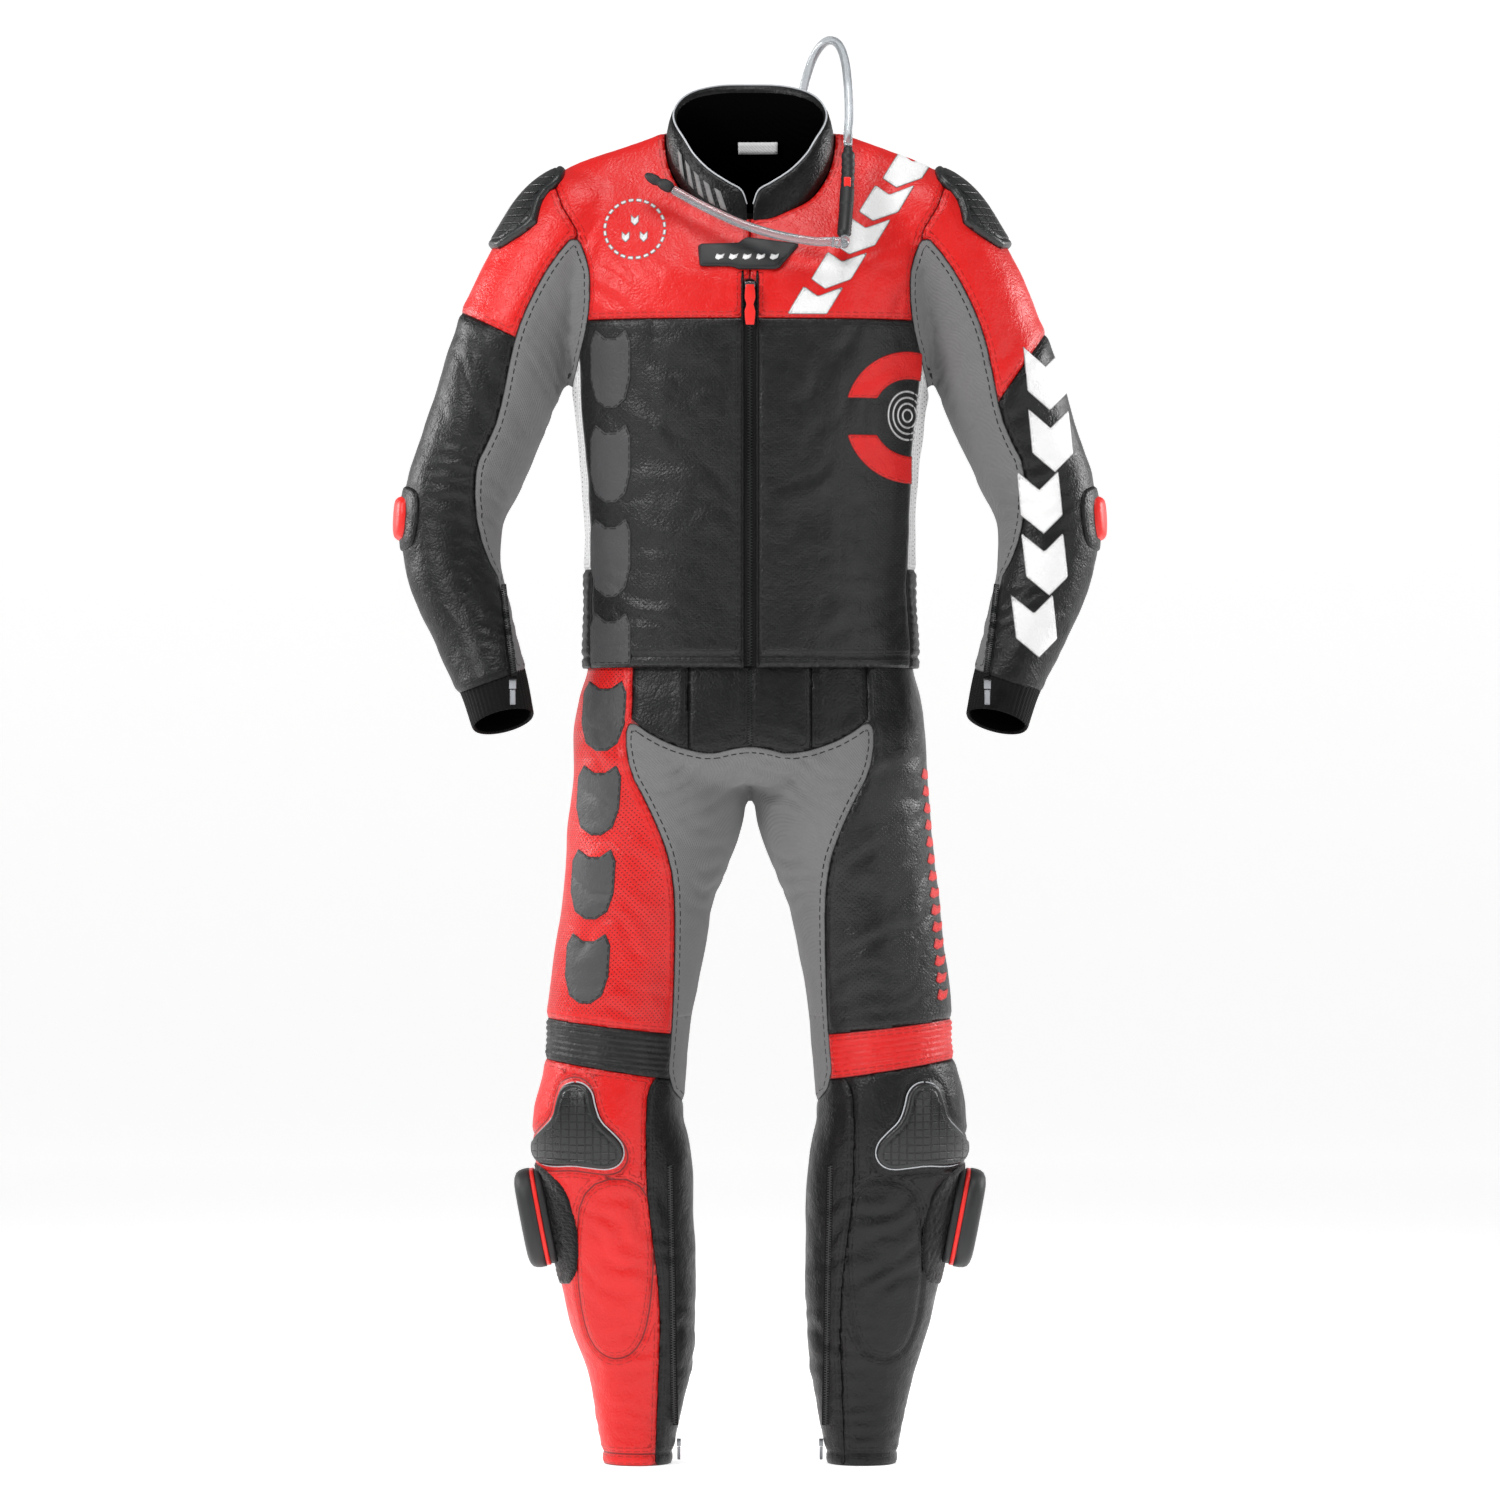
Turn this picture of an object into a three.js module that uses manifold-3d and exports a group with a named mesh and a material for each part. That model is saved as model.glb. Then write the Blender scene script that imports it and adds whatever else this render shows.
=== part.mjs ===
// Two-piece leather racing suit: a jacket zipped to matching trousers, as it stands on a wearer.
// Millimetres. X is the wearer's left, -Y is the front, +Z is up. Heights are counted from the leg hems
// while the parts are shaped; the finished group is moved so that the origin is where a hanger carries
// the shoulders. "right" and "left" are the wearer's.
import * as THREE from "three";
import Module from "manifold-3d";

const wasm = await Module();
wasm.setup();

// ---- Driving dimensions ----
const HANGER_HEIGHT = 1290; // the shoulders' inside, above the leg hems
const WALL = 3; // leather with its padding and lining
const SEAM = 0.5; // gap left between two neighbouring panels
const FIT = 0.4; // gap under anything sewn or stuck onto the leather
const BOX_ROUND = 2.35; // how square the trunk's cross-section is, 2 is an ellipse
const HEM = 800; // jacket's lower edge
const WAIST_TOP = 835; // trousers' upper edge, tucked into the jacket
const YOKE = 1147; // seam between yoke and chest panels
const BACK_YOKE = 1150; // the same seam on the back
const SIDE_FRONT = -28; // side panel's front and back seams, across the trunk
const SIDE_BACK = 48;
const ZIP_WIDTH = 14; // opening between the two front halves
const ZIP_FRONT = 108; // how far the closed zip lies in front of the middle
const ZIP_TOP = 1184;
const NECK = { half: 86, depth: 62, y: -10 }; // neck hole, seen from above
const ELBOW = { z: 958, ring: 56 }; // height of the bend line, and of the soft ring round it
const KNEE = { z: 418, ring: 50 };
const CAP_THICK = 7;
const KNEE_CAP_THICK = 6;
const HOOK_THICK = 3;
const PUCK_THICK = 30;
const TUBE_R = 4.5; // drinking tube, outside
const HUMP_SEAT = 1.2;

// Cross-sections of the trunk and the hips: height, half width, front, back.
const TRUNK = [
  [HEM, 170, 106, 100], [880, 167, 107, 98], [980, 169, 108, 104], [1070, 178, 108, 116],
  [YOKE, 184, 107, 124], [1195, 188, 103, 124], [1240, 190, 77, 116], [1275, 189, 52, 98],
  [1302, 184, 34, 76], [1322, 136, 24, 62], [1340, 84, 16, 54],
];
const HIPS = [
  [WAIST_TOP, 160, 96, 92], [HEM, 164, 99, 95], [768, 173, 103, 108], [730, 178, 104, 114],
  [700, 175, 96, 110], [684, 150, 70, 84],
];
// Cross-sections along the right arm and leg: centre x, y, z, half width, half depth.
const ARM = [
  [-118, 8, 1262, 38, 42], [-168, 8, 1248, 58, 60], [-200, 8, 1206, 60, 65], [-228, 8, 1150, 60, 66],
  [-252, 10, 1085, 61, 62], [-278, 14, 1015, 56, 57], [-299, 16, 958, 52, 54], [-297, 6, 898, 48.5, 50],
  [-278, -16, 838, 41, 44], [-258, -40, 788, 36, 39], [-247, -54, 748, 33, 36],
];
const LEG = [
  [-84, 4, 788, 62, 80], [-89, 4, 740, 86, 98], [-91, 4, 675, 88, 96], [-103, 3, 618, 82, 90],
  [-114, 2, 568, 76, 84], [-129, 0, 468, 72, 77], [-134, -4, 408, 70, 74], [-142, -10, 345, 76, 78],
  [-134, -4, 288, 77, 74], [-122, 8, 178, 66, 66], [-113, 14, 110, 56, 57], [-112, 14, 62, 46, 49],
  [-113, 13, 12, 36, 43], [-113, 13, 0, 35, 42],
];

// ---- Solids ----
const group = new THREE.Group();
const SKIN = {
  red: new THREE.MeshStandardMaterial({ color: 0xe8231f, roughness: 0.5 }),
  black: new THREE.MeshStandardMaterial({ color: 0x222324, roughness: 0.5 }),
  grey: new THREE.MeshStandardMaterial({ color: 0x848484, roughness: 0.9 }),
  white: new THREE.MeshStandardMaterial({ color: 0xe8e8e8, roughness: 0.8 }),
  knit: new THREE.MeshStandardMaterial({ color: 0x141414, roughness: 1 }),
  plastic: new THREE.MeshStandardMaterial({ color: 0x1c1c1e, roughness: 0.4 }),
  clear: new THREE.MeshStandardMaterial({ color: 0xb8bcc0, roughness: 0.2 }),
  metal: new THREE.MeshStandardMaterial({ color: 0x8a8c90, roughness: 0.3, metalness: 1 }),
};

// A closed body through rings of points, with a fan at each end.
function loftGeometry(rings) {
  const n = rings[0].length;
  const points = rings.flat();
  const middle = (ring) => ring.reduce((s, p) => s.add(p), new THREE.Vector3()).divideScalar(n);
  points.push(middle(rings[0]), middle(rings[rings.length - 1]));
  const first = points.length - 2;
  const last = points.length - 1;
  const top = (rings.length - 1) * n;
  const faces = [];
  for (let j = 0; j < n; j++) {
    const k = (j + 1) % n;
    for (let i = 0; i < rings.length - 1; i++) {
      const a = i * n + j;
      const b = i * n + k;
      faces.push(a, b, b + n, a, b + n, a + n);
    }
    faces.push(first, k, j, last, top + j, top + k);
  }
  const geometry = new THREE.BufferGeometry().setFromPoints(points);
  geometry.setIndex(faces);
  return geometry;
}

function solid(geometry) {
  const mesh = (triVerts) =>
    new wasm.Manifold(new wasm.Mesh({
      numProp: 3,
      vertProperties: new Float32Array(geometry.getAttribute("position").array),
      triVerts: new Uint32Array(triVerts),
    }));
  const index = Array.from(geometry.index.array);
  const made = mesh(index);
  return made.volume() >= 0 ? made : mesh(index.reverse());
}

// A smooth run of the stations, each a list of numbers.
function smooth(stations, steps) {
  const column = (c) =>
    new THREE.CatmullRomCurve3(stations.map((s) => new THREE.Vector3(s[c], 0, 0)), false, "catmullrom", 0.5);
  const curves = stations[0].map((_, c) => column(c));
  const count = (stations.length - 1) * steps;
  return Array.from({ length: count + 1 }, (_, i) => curves.map((c) => c.getPoint(i / count).x));
}

const signed = (v, power) => Math.sign(v) * Math.abs(v) ** power;

// Trunk or hips, grown by the given amount; open ends run on by "past".
function trunkSolid(stations, grow, around, pastStart = 0, pastEnd = 0) {
  const rows = smooth(stations, 1);
  const rings = rows.map(([z, half, front, back]) =>
    Array.from({ length: around }, (_, j) => {
      const t = (2 * Math.PI * j) / around;
      const depth = Math.sin(t) < 0 ? front : back;
      const power = 2 / BOX_ROUND;
      return new THREE.Vector3((half + grow) * signed(Math.cos(t), power), (depth + grow) * signed(Math.sin(t), power), z);
    }));
  const way = Math.sign(rows[rows.length - 1][0] - rows[0][0]);
  const moved = (ring, by) => ring.map((p) => p.clone().add(new THREE.Vector3(0, 0, by)));
  if (pastStart) rings.unshift(moved(rings[0], -way * pastStart));
  if (pastEnd) rings.push(moved(rings[rings.length - 1], way * pastEnd));
  return solid(loftGeometry(rings));
}

// An arm or a leg on one side (-1 right, 1 left), grown by the given amount.
function limbSolid(stations, side, grow, around, past = 0) {
  const rows = smooth(stations, 1);
  const centre = rows.map(([x, y, z]) => new THREE.Vector3(x, y, z));
  const rings = rows.map(([, , , half, deep], i) => {
    const along = centre[Math.min(i + 1, rows.length - 1)].clone().sub(centre[Math.max(i - 1, 0)]).normalize();
    const across = new THREE.Vector3(0, 1, 0).cross(along).normalize();
    const through = along.clone().cross(across);
    return Array.from({ length: around }, (_, j) => {
      const t = (2 * Math.PI * j) / around;
      return centre[i].clone()
        .addScaledVector(across, (half + grow) * Math.cos(t))
        .addScaledVector(through, (deep + grow) * Math.sin(t));
    });
  });
  if (past) {
    const end = rings[rings.length - 1];
    const way = centre[rows.length - 1].clone().sub(centre[rows.length - 2]).normalize();
    rings.push(end.map((p) => p.clone().addScaledVector(way, past)));
  }
  const made = solid(loftGeometry(rings));
  return side < 0 ? made : made.mirror([1, 0, 0]);
}

// A straight cut-out through the suit: an outline seen from the front (x, z), from depth y0 to y1.
function prism(outline, y0, y1, side = -1) {
  const shape = new THREE.Shape(outline.map(([x, z]) => new THREE.Vector2(x, z)));
  return prismOf(shape, y0, y1, side);
}

function prismOf(shape, y0, y1, side = -1, bevel = 0, curveSegments = 6) {
  const geometry = new THREE.ExtrudeGeometry(shape, {
    depth: y1 - y0 - 2 * bevel, bevelEnabled: bevel > 0, bevelThickness: bevel, bevelSize: bevel,
    bevelOffset: -bevel, bevelSegments: 1, curveSegments,
  });
  geometry.translate(0, 0, bevel).rotateX(Math.PI / 2).translate(0, y1, 0);
  const made = solid(welded(geometry));
  return side < 0 ? made : made.mirror([1, 0, 0]);
}

// Position-only copy of a three.js geometry with its shared corners merged.
function welded(geometry) {
  const flat = geometry.index ? geometry.toNonIndexed() : geometry;
  const p = flat.getAttribute("position");
  const seen = new Map();
  const points = [];
  const index = [];
  for (let i = 0; i < p.count; i++) {
    const v = new THREE.Vector3().fromBufferAttribute(p, i);
    const key = v.toArray().map((c) => Math.round(c * 1e3)).join();
    if (!seen.has(key)) {
      seen.set(key, points.length);
      points.push(v);
    }
    index.push(seen.get(key));
  }
  const whole = index.flatMap((_, i) => {
    if (i % 3) return [];
    const [a, b, c] = index.slice(i, i + 3);
    return a === b || b === c || a === c ? [] : [a, b, c];
  });
  const merged = new THREE.BufferGeometry().setFromPoints(points);
  merged.setIndex(whole);
  return merged;
}

// The same outline moved outwards, so that the next panel stays clear of this one.
function grown(outline, by) {
  const n = outline.length;
  const area = outline.reduce((s, [x, z], i) => {
    const [u, w] = outline[(i + 1) % n];
    return s + x * w - u * z;
  }, 0);
  const turn = Math.sign(area) * by;
  const edge = (a, b) => new THREE.Vector2(b[1] - a[1], a[0] - b[0]).normalize();
  return outline.map((p, i) => {
    const before = edge(outline[(i + n - 1) % n], p);
    const after = edge(p, outline[(i + 1) % n]);
    const reach = Math.min(3, 1 / Math.max(0.3, 1 + before.dot(after)) * 2 / 2);
    return [p[0] + (before.x + after.x) * turn * reach, p[1] + (before.y + after.y) * turn * reach];
  });
}

function add(name, made, material) {
  const whole = made.decompose().sort((a, b) => b.volume() - a.volume())[0];
  const m = whole.getMesh();
  const geometry = new THREE.BufferGeometry();
  const position = new Float32Array(m.numVert * 3);
  for (let i = 0; i < m.numVert; i++) position.set(m.vertProperties.subarray(i * m.numProp, i * m.numProp + 3), i * 3);
  geometry.setAttribute("position", new THREE.BufferAttribute(position, 3));
  geometry.setIndex(new THREE.BufferAttribute(m.triVerts, 1));
  geometry.computeVertexNormals();
  const mesh = new THREE.Mesh(geometry, material);
  mesh.name = name;
  group.add(mesh);
  return whole;
}

const FAR = 400;
const mirrored = (outline) => outline.map(([x, z]) => [-x, z]);
// Cuts named panels out of a shell one after another; each panel takes its region, less a seam's gap.
function panels(shell, regions) {
  let rest = shell;
  for (const { name, skin, outline, y0 = -FAR, y1 = FAR } of regions) {
    const own = rest.intersect(prism(outline, y0, y1));
    add(name, own, skin);
    rest = rest.subtract(prism(grown(outline, SEAM), y0 - SEAM, y1 + SEAM));
  }
}

const AROUND = { trunk: 36, arm: 18, leg: 20 };
const SIDES = [[-1, "right"], [1, "left"]];
const bothSides = (make) => SIDES.map(([side]) => make(side)).reduce((a, b) => a.add(b));

// ---- Jacket leather ----
const armSolids = (grow, past = 0) => bothSides((side) => limbSolid(ARM, side, grow, AROUND.arm, past));
const jacketOuter = trunkSolid(TRUNK, 0, AROUND.trunk).add(armSolids(0));
const jacketInner = trunkSolid(TRUNK, -WALL, AROUND.trunk, 6, -WALL).add(armSolids(-WALL, 8));
const neckHole = (grow) => {
  const ring = (z) => Array.from({ length: 28 }, (_, j) => {
    const t = (2 * Math.PI * j) / 28;
    return new THREE.Vector3((NECK.half + grow) * Math.cos(t), NECK.y + (NECK.depth + grow) * Math.sin(t), z);
  });
  return solid(loftGeometry([ring(1170), ring(1450)]));
};
const jacketShell = jacketOuter.subtract(jacketInner).subtract(neckHole(0));

// The main zip lies in a straight slot between the halves.
const slot = prism([[-ZIP_WIDTH / 2, HEM - 10], [ZIP_WIDTH / 2, HEM - 10], [ZIP_WIDTH / 2, ZIP_TOP + 2], [-ZIP_WIDTH / 2, ZIP_TOP + 2]], -FAR, 0);
const halves = prism([[-SEAM / 2, ZIP_TOP], [SEAM / 2, ZIP_TOP], [SEAM / 2, 1400], [-SEAM / 2, 1400]], -FAR, 0);

// Armhole from the shoulder ridge down past the armpit, then between sleeve and trunk.
const ARMHOLE = [[-196, 1345], [-198, 1290], [-188, 1262], [-172, 1236], [-178, 1100], [-184, 1066], [-206, 960], [-206, 700]];
const sleeveOf = (top, bottom) => [
  ...ARMHOLE.filter(([, z]) => z < top && z > bottom),
  [armholeX(bottom), bottom], [-FAR, bottom], [-FAR, top], [armholeX(top), top],
];
function armholeX(z) {
  const i = ARMHOLE.findIndex(([, h], n) => n && h <= z);
  const [[x0, z0], [x1, z1]] = ARMHOLE.slice(i - 1, i + 1);
  return x0 + ((x1 - x0) * (z - z0)) / (z1 - z0);
}
const RING_TOP = ELBOW.z + ELBOW.ring / 2;
const RING_BOTTOM = ELBOW.z - ELBOW.ring / 2;
const GUSSET_FRONT = [
  [-173, 1236], [-198, 1207], [-218, 1172], [-234, 1134], [-243, 1093], [-251, 1052], [-263, 1024], [-274, RING_TOP + SEAM],
  [-206, RING_TOP + SEAM], [-184, 1066], [-177, 1092], [-171, 1114], [-163, 1145], [-160, 1179], [-162, 1203],
];
const GUSSET_BACK = [
  [-178, 1118], [-200, 1095], [-222, 1040], [-240, RING_TOP + SEAM], [-206, RING_TOP + SEAM], [-184, 1066],
];
const INNER_FRONT = [[-277, RING_BOTTOM], [-272, 920], [-262, 902], [-250, 870], [-236, 790], [-205, 803], [-206, RING_BOTTOM]];
const CUFF = [[-320, 765.2], [-192, 809.4], [-192, 700], [-320, 700]];
const COLOUR_SEAM = { right: [[-340, 1185], [-190, 1108]], left: [[-340, 1196], [-206, 1006]] };

for (const [side, word] of SIDES) {
  const at = side < 0 ? (o) => o : mirrored;
  const [low, high] = COLOUR_SEAM[word];
  const armY = ARM[4][1];
  const gusset = jacketShell.intersect(prism(at(GUSSET_FRONT), -FAR, armY).add(prism(at(GUSSET_BACK), armY - 1, FAR)));
  add(`underarm_stretch_${word}`, gusset, SKIN.grey);
  const gussetCut = prism(at(grown(GUSSET_FRONT, SEAM)), -FAR, armY + SEAM).add(prism(at(grown(GUSSET_BACK, SEAM)), armY - 1, FAR));
  const sleeve = jacketShell.intersect(prism(at(sleeveOf(1340, 700)), -FAR, FAR)).subtract(gussetCut);
  const upper = [...sleeveOf(1340, RING_TOP + SEAM)];
  const topHalf = [low, high, [-150, 1345], [-FAR, 1345]];
  add(`sleeve_top_${word}`, sleeve.intersect(prism(at(upper), -FAR, FAR)).intersect(prism(at(topHalf), -FAR, FAR)), SKIN.red);
  add(`upper_sleeve_${word}`, sleeve.intersect(prism(at(upper), -FAR, FAR)).subtract(prism(at(grown(topHalf, SEAM)), -FAR, FAR)), SKIN.black);
  add(`elbow_flex_${word}`, sleeve.intersect(prism(at(sleeveOf(RING_TOP, RING_BOTTOM + SEAM)), -FAR, FAR)), SKIN.black);
  const forearm = sleeve.intersect(prism(at(sleeveOf(RING_BOTTOM, 700.5)), -FAR, FAR));
  add(`cuff_${word}`, forearm.intersect(prism(at(CUFF), -FAR, FAR)), SKIN.knit);
  const aboveCuff = forearm.subtract(prism(at(grown(CUFF, SEAM)), -FAR, FAR));
  add(`forearm_stretch_${word}`, aboveCuff.intersect(prism(at(INNER_FRONT), -FAR, FAR)), SKIN.grey);
  add(`forearm_leather_${word}`, aboveCuff.subtract(prism(at(grown(INNER_FRONT, SEAM)), -FAR, FAR)), SKIN.black);
}

// Trunk panels: what lies inside both armholes, clear of the gussets.
const trunkOutline = [...ARMHOLE.slice(0, 6), [-186, HEM - 20]];
const trunkInside = [...trunkOutline.map(([x, z]) => [x + SEAM, z]), ...mirrored(trunkOutline).reverse().map(([x, z]) => [x - SEAM, z])];
const bothGussets = bothSides((side) => {
  const at = side < 0 ? (o) => o : mirrored;
  return prism(at(grown(GUSSET_FRONT, SEAM)), -FAR, ARM[4][1] + SEAM);
});
const trunkShell = jacketShell.intersect(prism(trunkInside, -FAR, FAR)).subtract(bothGussets).subtract(slot).subtract(halves);
const band = (x0, x1, z0, z1) => [[x0, z0], [x1, z0], [x1, z1], [x0, z1]];
panels(trunkShell, [
  { name: "front_yoke_right", skin: SKIN.red, outline: band(-FAR, 0, YOKE, 1345), y1: 6 },
  { name: "front_yoke_left", skin: SKIN.red, outline: band(SEAM, FAR, YOKE, 1345), y1: 6 },
  { name: "chest_panel_right", skin: SKIN.black, outline: band(-FAR, 0, 780, YOKE - SEAM), y1: SIDE_FRONT },
  { name: "chest_panel_left", skin: SKIN.black, outline: band(SEAM, FAR, 780, YOKE - SEAM), y1: SIDE_FRONT },
  { name: "back_yoke", skin: SKIN.red, outline: band(-FAR, FAR, BACK_YOKE, 1345), y0: 6 + SEAM },
  { name: "back_panel", skin: SKIN.black, outline: band(-FAR, FAR, 780, BACK_YOKE - SEAM), y0: SIDE_BACK },
  { name: "side_panel_right", skin: SKIN.white, outline: band(-FAR, 0, 780, BACK_YOKE - SEAM) },
  { name: "side_panel_left", skin: SKIN.white, outline: band(SEAM, FAR, 780, BACK_YOKE - SEAM) },
]);

// Stand collar: a band round the neck hole, open 3 mm at the front.
const COLLAR = { thick: 5, gap: 0.035, sink: 5 };
const COLLAR_ROWS = [ // degrees from the front, foot height, top height, top's share of the foot's width
  [0, 1243, 1270, 0.97], [30, 1252, 1284, 0.96], [60, 1292, 1326, 0.95], [90, 1333, 1362, 0.92],
  [120, 1335, 1378, 0.88], [150, 1333, 1388, 0.86], [180, 1332, 1390, 0.86],
];
function collarBand(inset, thick) {
  const rows = [...COLLAR_ROWS, ...COLLAR_ROWS.slice(0, -1).reverse().map(([d, ...r]) => [360 - d, ...r])];
  rows[0] = [COLLAR.gap * 57.3, ...rows[0].slice(1)];
  rows[rows.length - 1] = [360 - COLLAR.gap * 57.3, ...rows[0].slice(1)];
  const rings = smooth(rows, 2).map(([degrees, foot, top, share]) => {
    const t = (degrees * Math.PI) / 180;
    const point = (scale, inward, z) => new THREE.Vector3(
      -(NECK.half - inward) * scale * Math.sin(t), NECK.y - (NECK.depth - inward) * scale * Math.cos(t), z);
    return [point(1, inset, foot - COLLAR.sink), point(share, inset, top), point(share, inset + thick, top),
      point(1, inset + thick, foot - COLLAR.sink)];
  });
  return solid(loftGeometry(rings));
}
add("collar", collarBand(2.5 * FIT, COLLAR.thick), SKIN.black);

// ---- Back hump with its water bladder ----
const HUMP = [ // height, half width, how far back it reaches
  [1330, 30, 82], [1312, 48, 112], [1270, 62, 152], [1220, 68, 170], [1165, 64, 166], [1115, 50, 150], [1080, 28, 126],
];
function humpSolid(grow) {
  const rings = HUMP.map(([z, half, back], i) => Array.from({ length: 20 }, (_, j) => {
    const t = (2 * Math.PI * j) / 20;
    const lift = i === 0 ? grow : i === HUMP.length - 1 ? -grow : 0;
    return new THREE.Vector3((half + grow) * signed(Math.cos(t), 0.85), 40 + (back - 40 + grow) * Math.sin(t), z + lift);
  }));
  return solid(loftGeometry(rings));
}
const trunkGrown = (grow) => trunkSolid(TRUNK, grow, AROUND.trunk);
const behind = prism(band(-FAR, FAR, 1000, 1400), 20, FAR);
add("hump_shell", humpSolid(0).subtract(humpSolid(-WALL)).subtract(trunkGrown(HUMP_SEAT)).subtract(neckHole(8)).intersect(behind), SKIN.plastic);
add("hydration_bladder", humpSolid(-WALL - 6).subtract(trunkGrown(HUMP_SEAT + 2)).subtract(neckHole(16)).intersect(behind), SKIN.clear);

// ---- Pieces laid onto the leather ----
const armLayer = (side, from, to) => limbSolid(ARM, side, to, AROUND.arm).subtract(limbSolid(ARM, side, from, AROUND.arm));
const legLayer = (side, from, to) => limbSolid(LEG, side, to, AROUND.leg).subtract(limbSolid(LEG, side, from, AROUND.leg));
const CAP = [[-187, 1330], [-186, 1292], [-206, 1274], [-212, 1253], [-215, 1231], [-229, 1218], [-246, 1219], [-290, 1226], [-290, 1330]];
const ELBOW_PLATE = { y0: -11, y1: 44, z0: RING_BOTTOM - 4, z1: RING_BOTTOM + 44, thick: 9 };
const KNEE_CAP = [
  [-176, 387], [-157, 377], [-152, 352], [-126, 325], [-127, 308], [-138, 300], [-174, 304], [-208, 303], [-216, 327],
  [-194, 350], [-190, 377],
];
const HOOK = [[-230, 303], [-216, 303], [-189, 286], [-175, 260], [-170, 223], [-173, 190], [-190, 182], [-230, 182]];
for (const [side, word] of SIDES) {
  const at = side < 0 ? (o) => o : mirrored;
  const inTrunk = trunkGrown(FIT);
  add(`shoulder_cap_${word}`, armLayer(side, FIT, CAP_THICK).intersect(prism(at(CAP), -46, 62)).subtract(inTrunk), SKIN.plastic);
  const { y0, y1, z0, z1, thick } = ELBOW_PLATE;
  add(`elbow_slider_${word}`, armLayer(side, FIT, thick).intersect(prism(at(band(-FAR, -330, z0, z1)), y0, y1)), SKIN.red);
  add(`knee_cap_${word}`, legLayer(side, FIT, KNEE_CAP_THICK).intersect(prism(at(KNEE_CAP), -FAR, -20)), SKIN.plastic);
  add(`hook_patch_${word}`, legLayer(side, FIT, HOOK_THICK).intersect(prism(at(HOOK), -70, 62)), SKIN.knit);
}

// Knee slider: a rounded block on the hook patch, cut to the leg's curve.
const PUCK = { y: -4, z: 250, half: 50, high: 52, tilt: 0.19, x: 199, round: 26 };
for (const [side, word] of SIDES) {
  const { half, high, round } = PUCK;
  const shape = new THREE.Shape();
  shape.moveTo(-half + round, -high);
  shape.lineTo(half - round, -high).quadraticCurveTo(half, -high, half, -high + round);
  shape.lineTo(half, high - round).quadraticCurveTo(half, high, half - round, high);
  shape.lineTo(-half + round, high).quadraticCurveTo(-half, high, -half, high - round);
  shape.lineTo(-half, -high + round).quadraticCurveTo(-half, -high, -half + round, -high);
  const block = prismOf(shape, 0, PUCK_THICK, -1, 7, 4)
    .rotate([0, 0, -90]).rotate([0, (-PUCK.tilt * 180) / Math.PI, 0])
    .translate([-PUCK.x - PUCK_THICK, PUCK.y, PUCK.z]);
  const placed = side < 0 ? block : block.mirror([1, 0, 0]);
  add(`knee_slider_${word}`, placed.subtract(limbSolid(LEG, side, HOOK_THICK + FIT, AROUND.leg)), SKIN.plastic);
}

// ---- Trousers leather ----
const legSolids = (grow, past = 0) => bothSides((side) => limbSolid(LEG, side, grow, AROUND.leg, past));
const trouserShell = trunkSolid(HIPS, 0, AROUND.trunk).add(legSolids(0))
  .subtract(trunkSolid(HIPS, -WALL, AROUND.trunk, 6).add(legSolids(-WALL, 8)));
const CROTCH = [ // grey stretch seen from the front, right half from the middle outwards
  [0, 722], [-19, 719], [-38, 714], [-66, 719], [-95, 731], [-120, 749], [-125, 731], [-120, 696], [-104, 667], [-89, 634],
  [-79, 605], [-74.5, 570], [-74.5, 520], [-77, 452], [-78, KNEE.z + KNEE.ring / 2 + SEAM], [-40, KNEE.z + KNEE.ring / 2 + SEAM], [0, 620],
];
const crotchBoth = [...CROTCH, ...mirrored(CROTCH).reverse().slice(1, -1)];
const SEAT = [[0, 690], [-60, 690], [-36, 600], [-70, KNEE.z + KNEE.ring / 2 + SEAM], [-30, KNEE.z + KNEE.ring / 2 + SEAM], [0, 600]];
const seatBoth = [...SEAT, ...mirrored(SEAT).reverse().slice(1, -1)];
const frontCut = (grow) => prism(grow ? grown(crotchBoth, grow) : crotchBoth, -FAR, 0);
const backCut = (grow) => prism(grow ? grown(seatBoth, grow) : seatBoth, -1, FAR);
add("crotch_stretch", trouserShell.intersect(frontCut(0).add(backCut(0))), SKIN.grey);
const leather = trouserShell.subtract(frontCut(SEAM)).subtract(backCut(SEAM));
const WAIST_FRONT = [[-116, 850], [-118, 749.5], [-66, 700], [66, 700], [118, 749.5], [116, 850]];
const KNEE_TOP = KNEE.z + KNEE.ring / 2;
const KNEE_BOTTOM = KNEE.z - KNEE.ring / 2;
add("waist_front", leather.intersect(prism(WAIST_FRONT, -FAR, -20)), SKIN.black);
const noWaist = leather.subtract(prism(grown(WAIST_FRONT, SEAM), -FAR, -20 + SEAM));
add("seat_panel", noWaist.intersect(prism(band(-FAR, FAR, 612, 850), 30, FAR)), SKIN.black);
const noSeat = noWaist.subtract(prism(band(-FAR, FAR, 612 - SEAM, 860), 30 - SEAM, FAR));
const INNER_CALF = [[-98, KNEE_BOTTOM - SEAM], [-103, 284], [-98, 238], [-92, 192], [-89, 147], [-92, 70], [-95, -5], [0, -5], [0, KNEE_BOTTOM - SEAM]];
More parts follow.
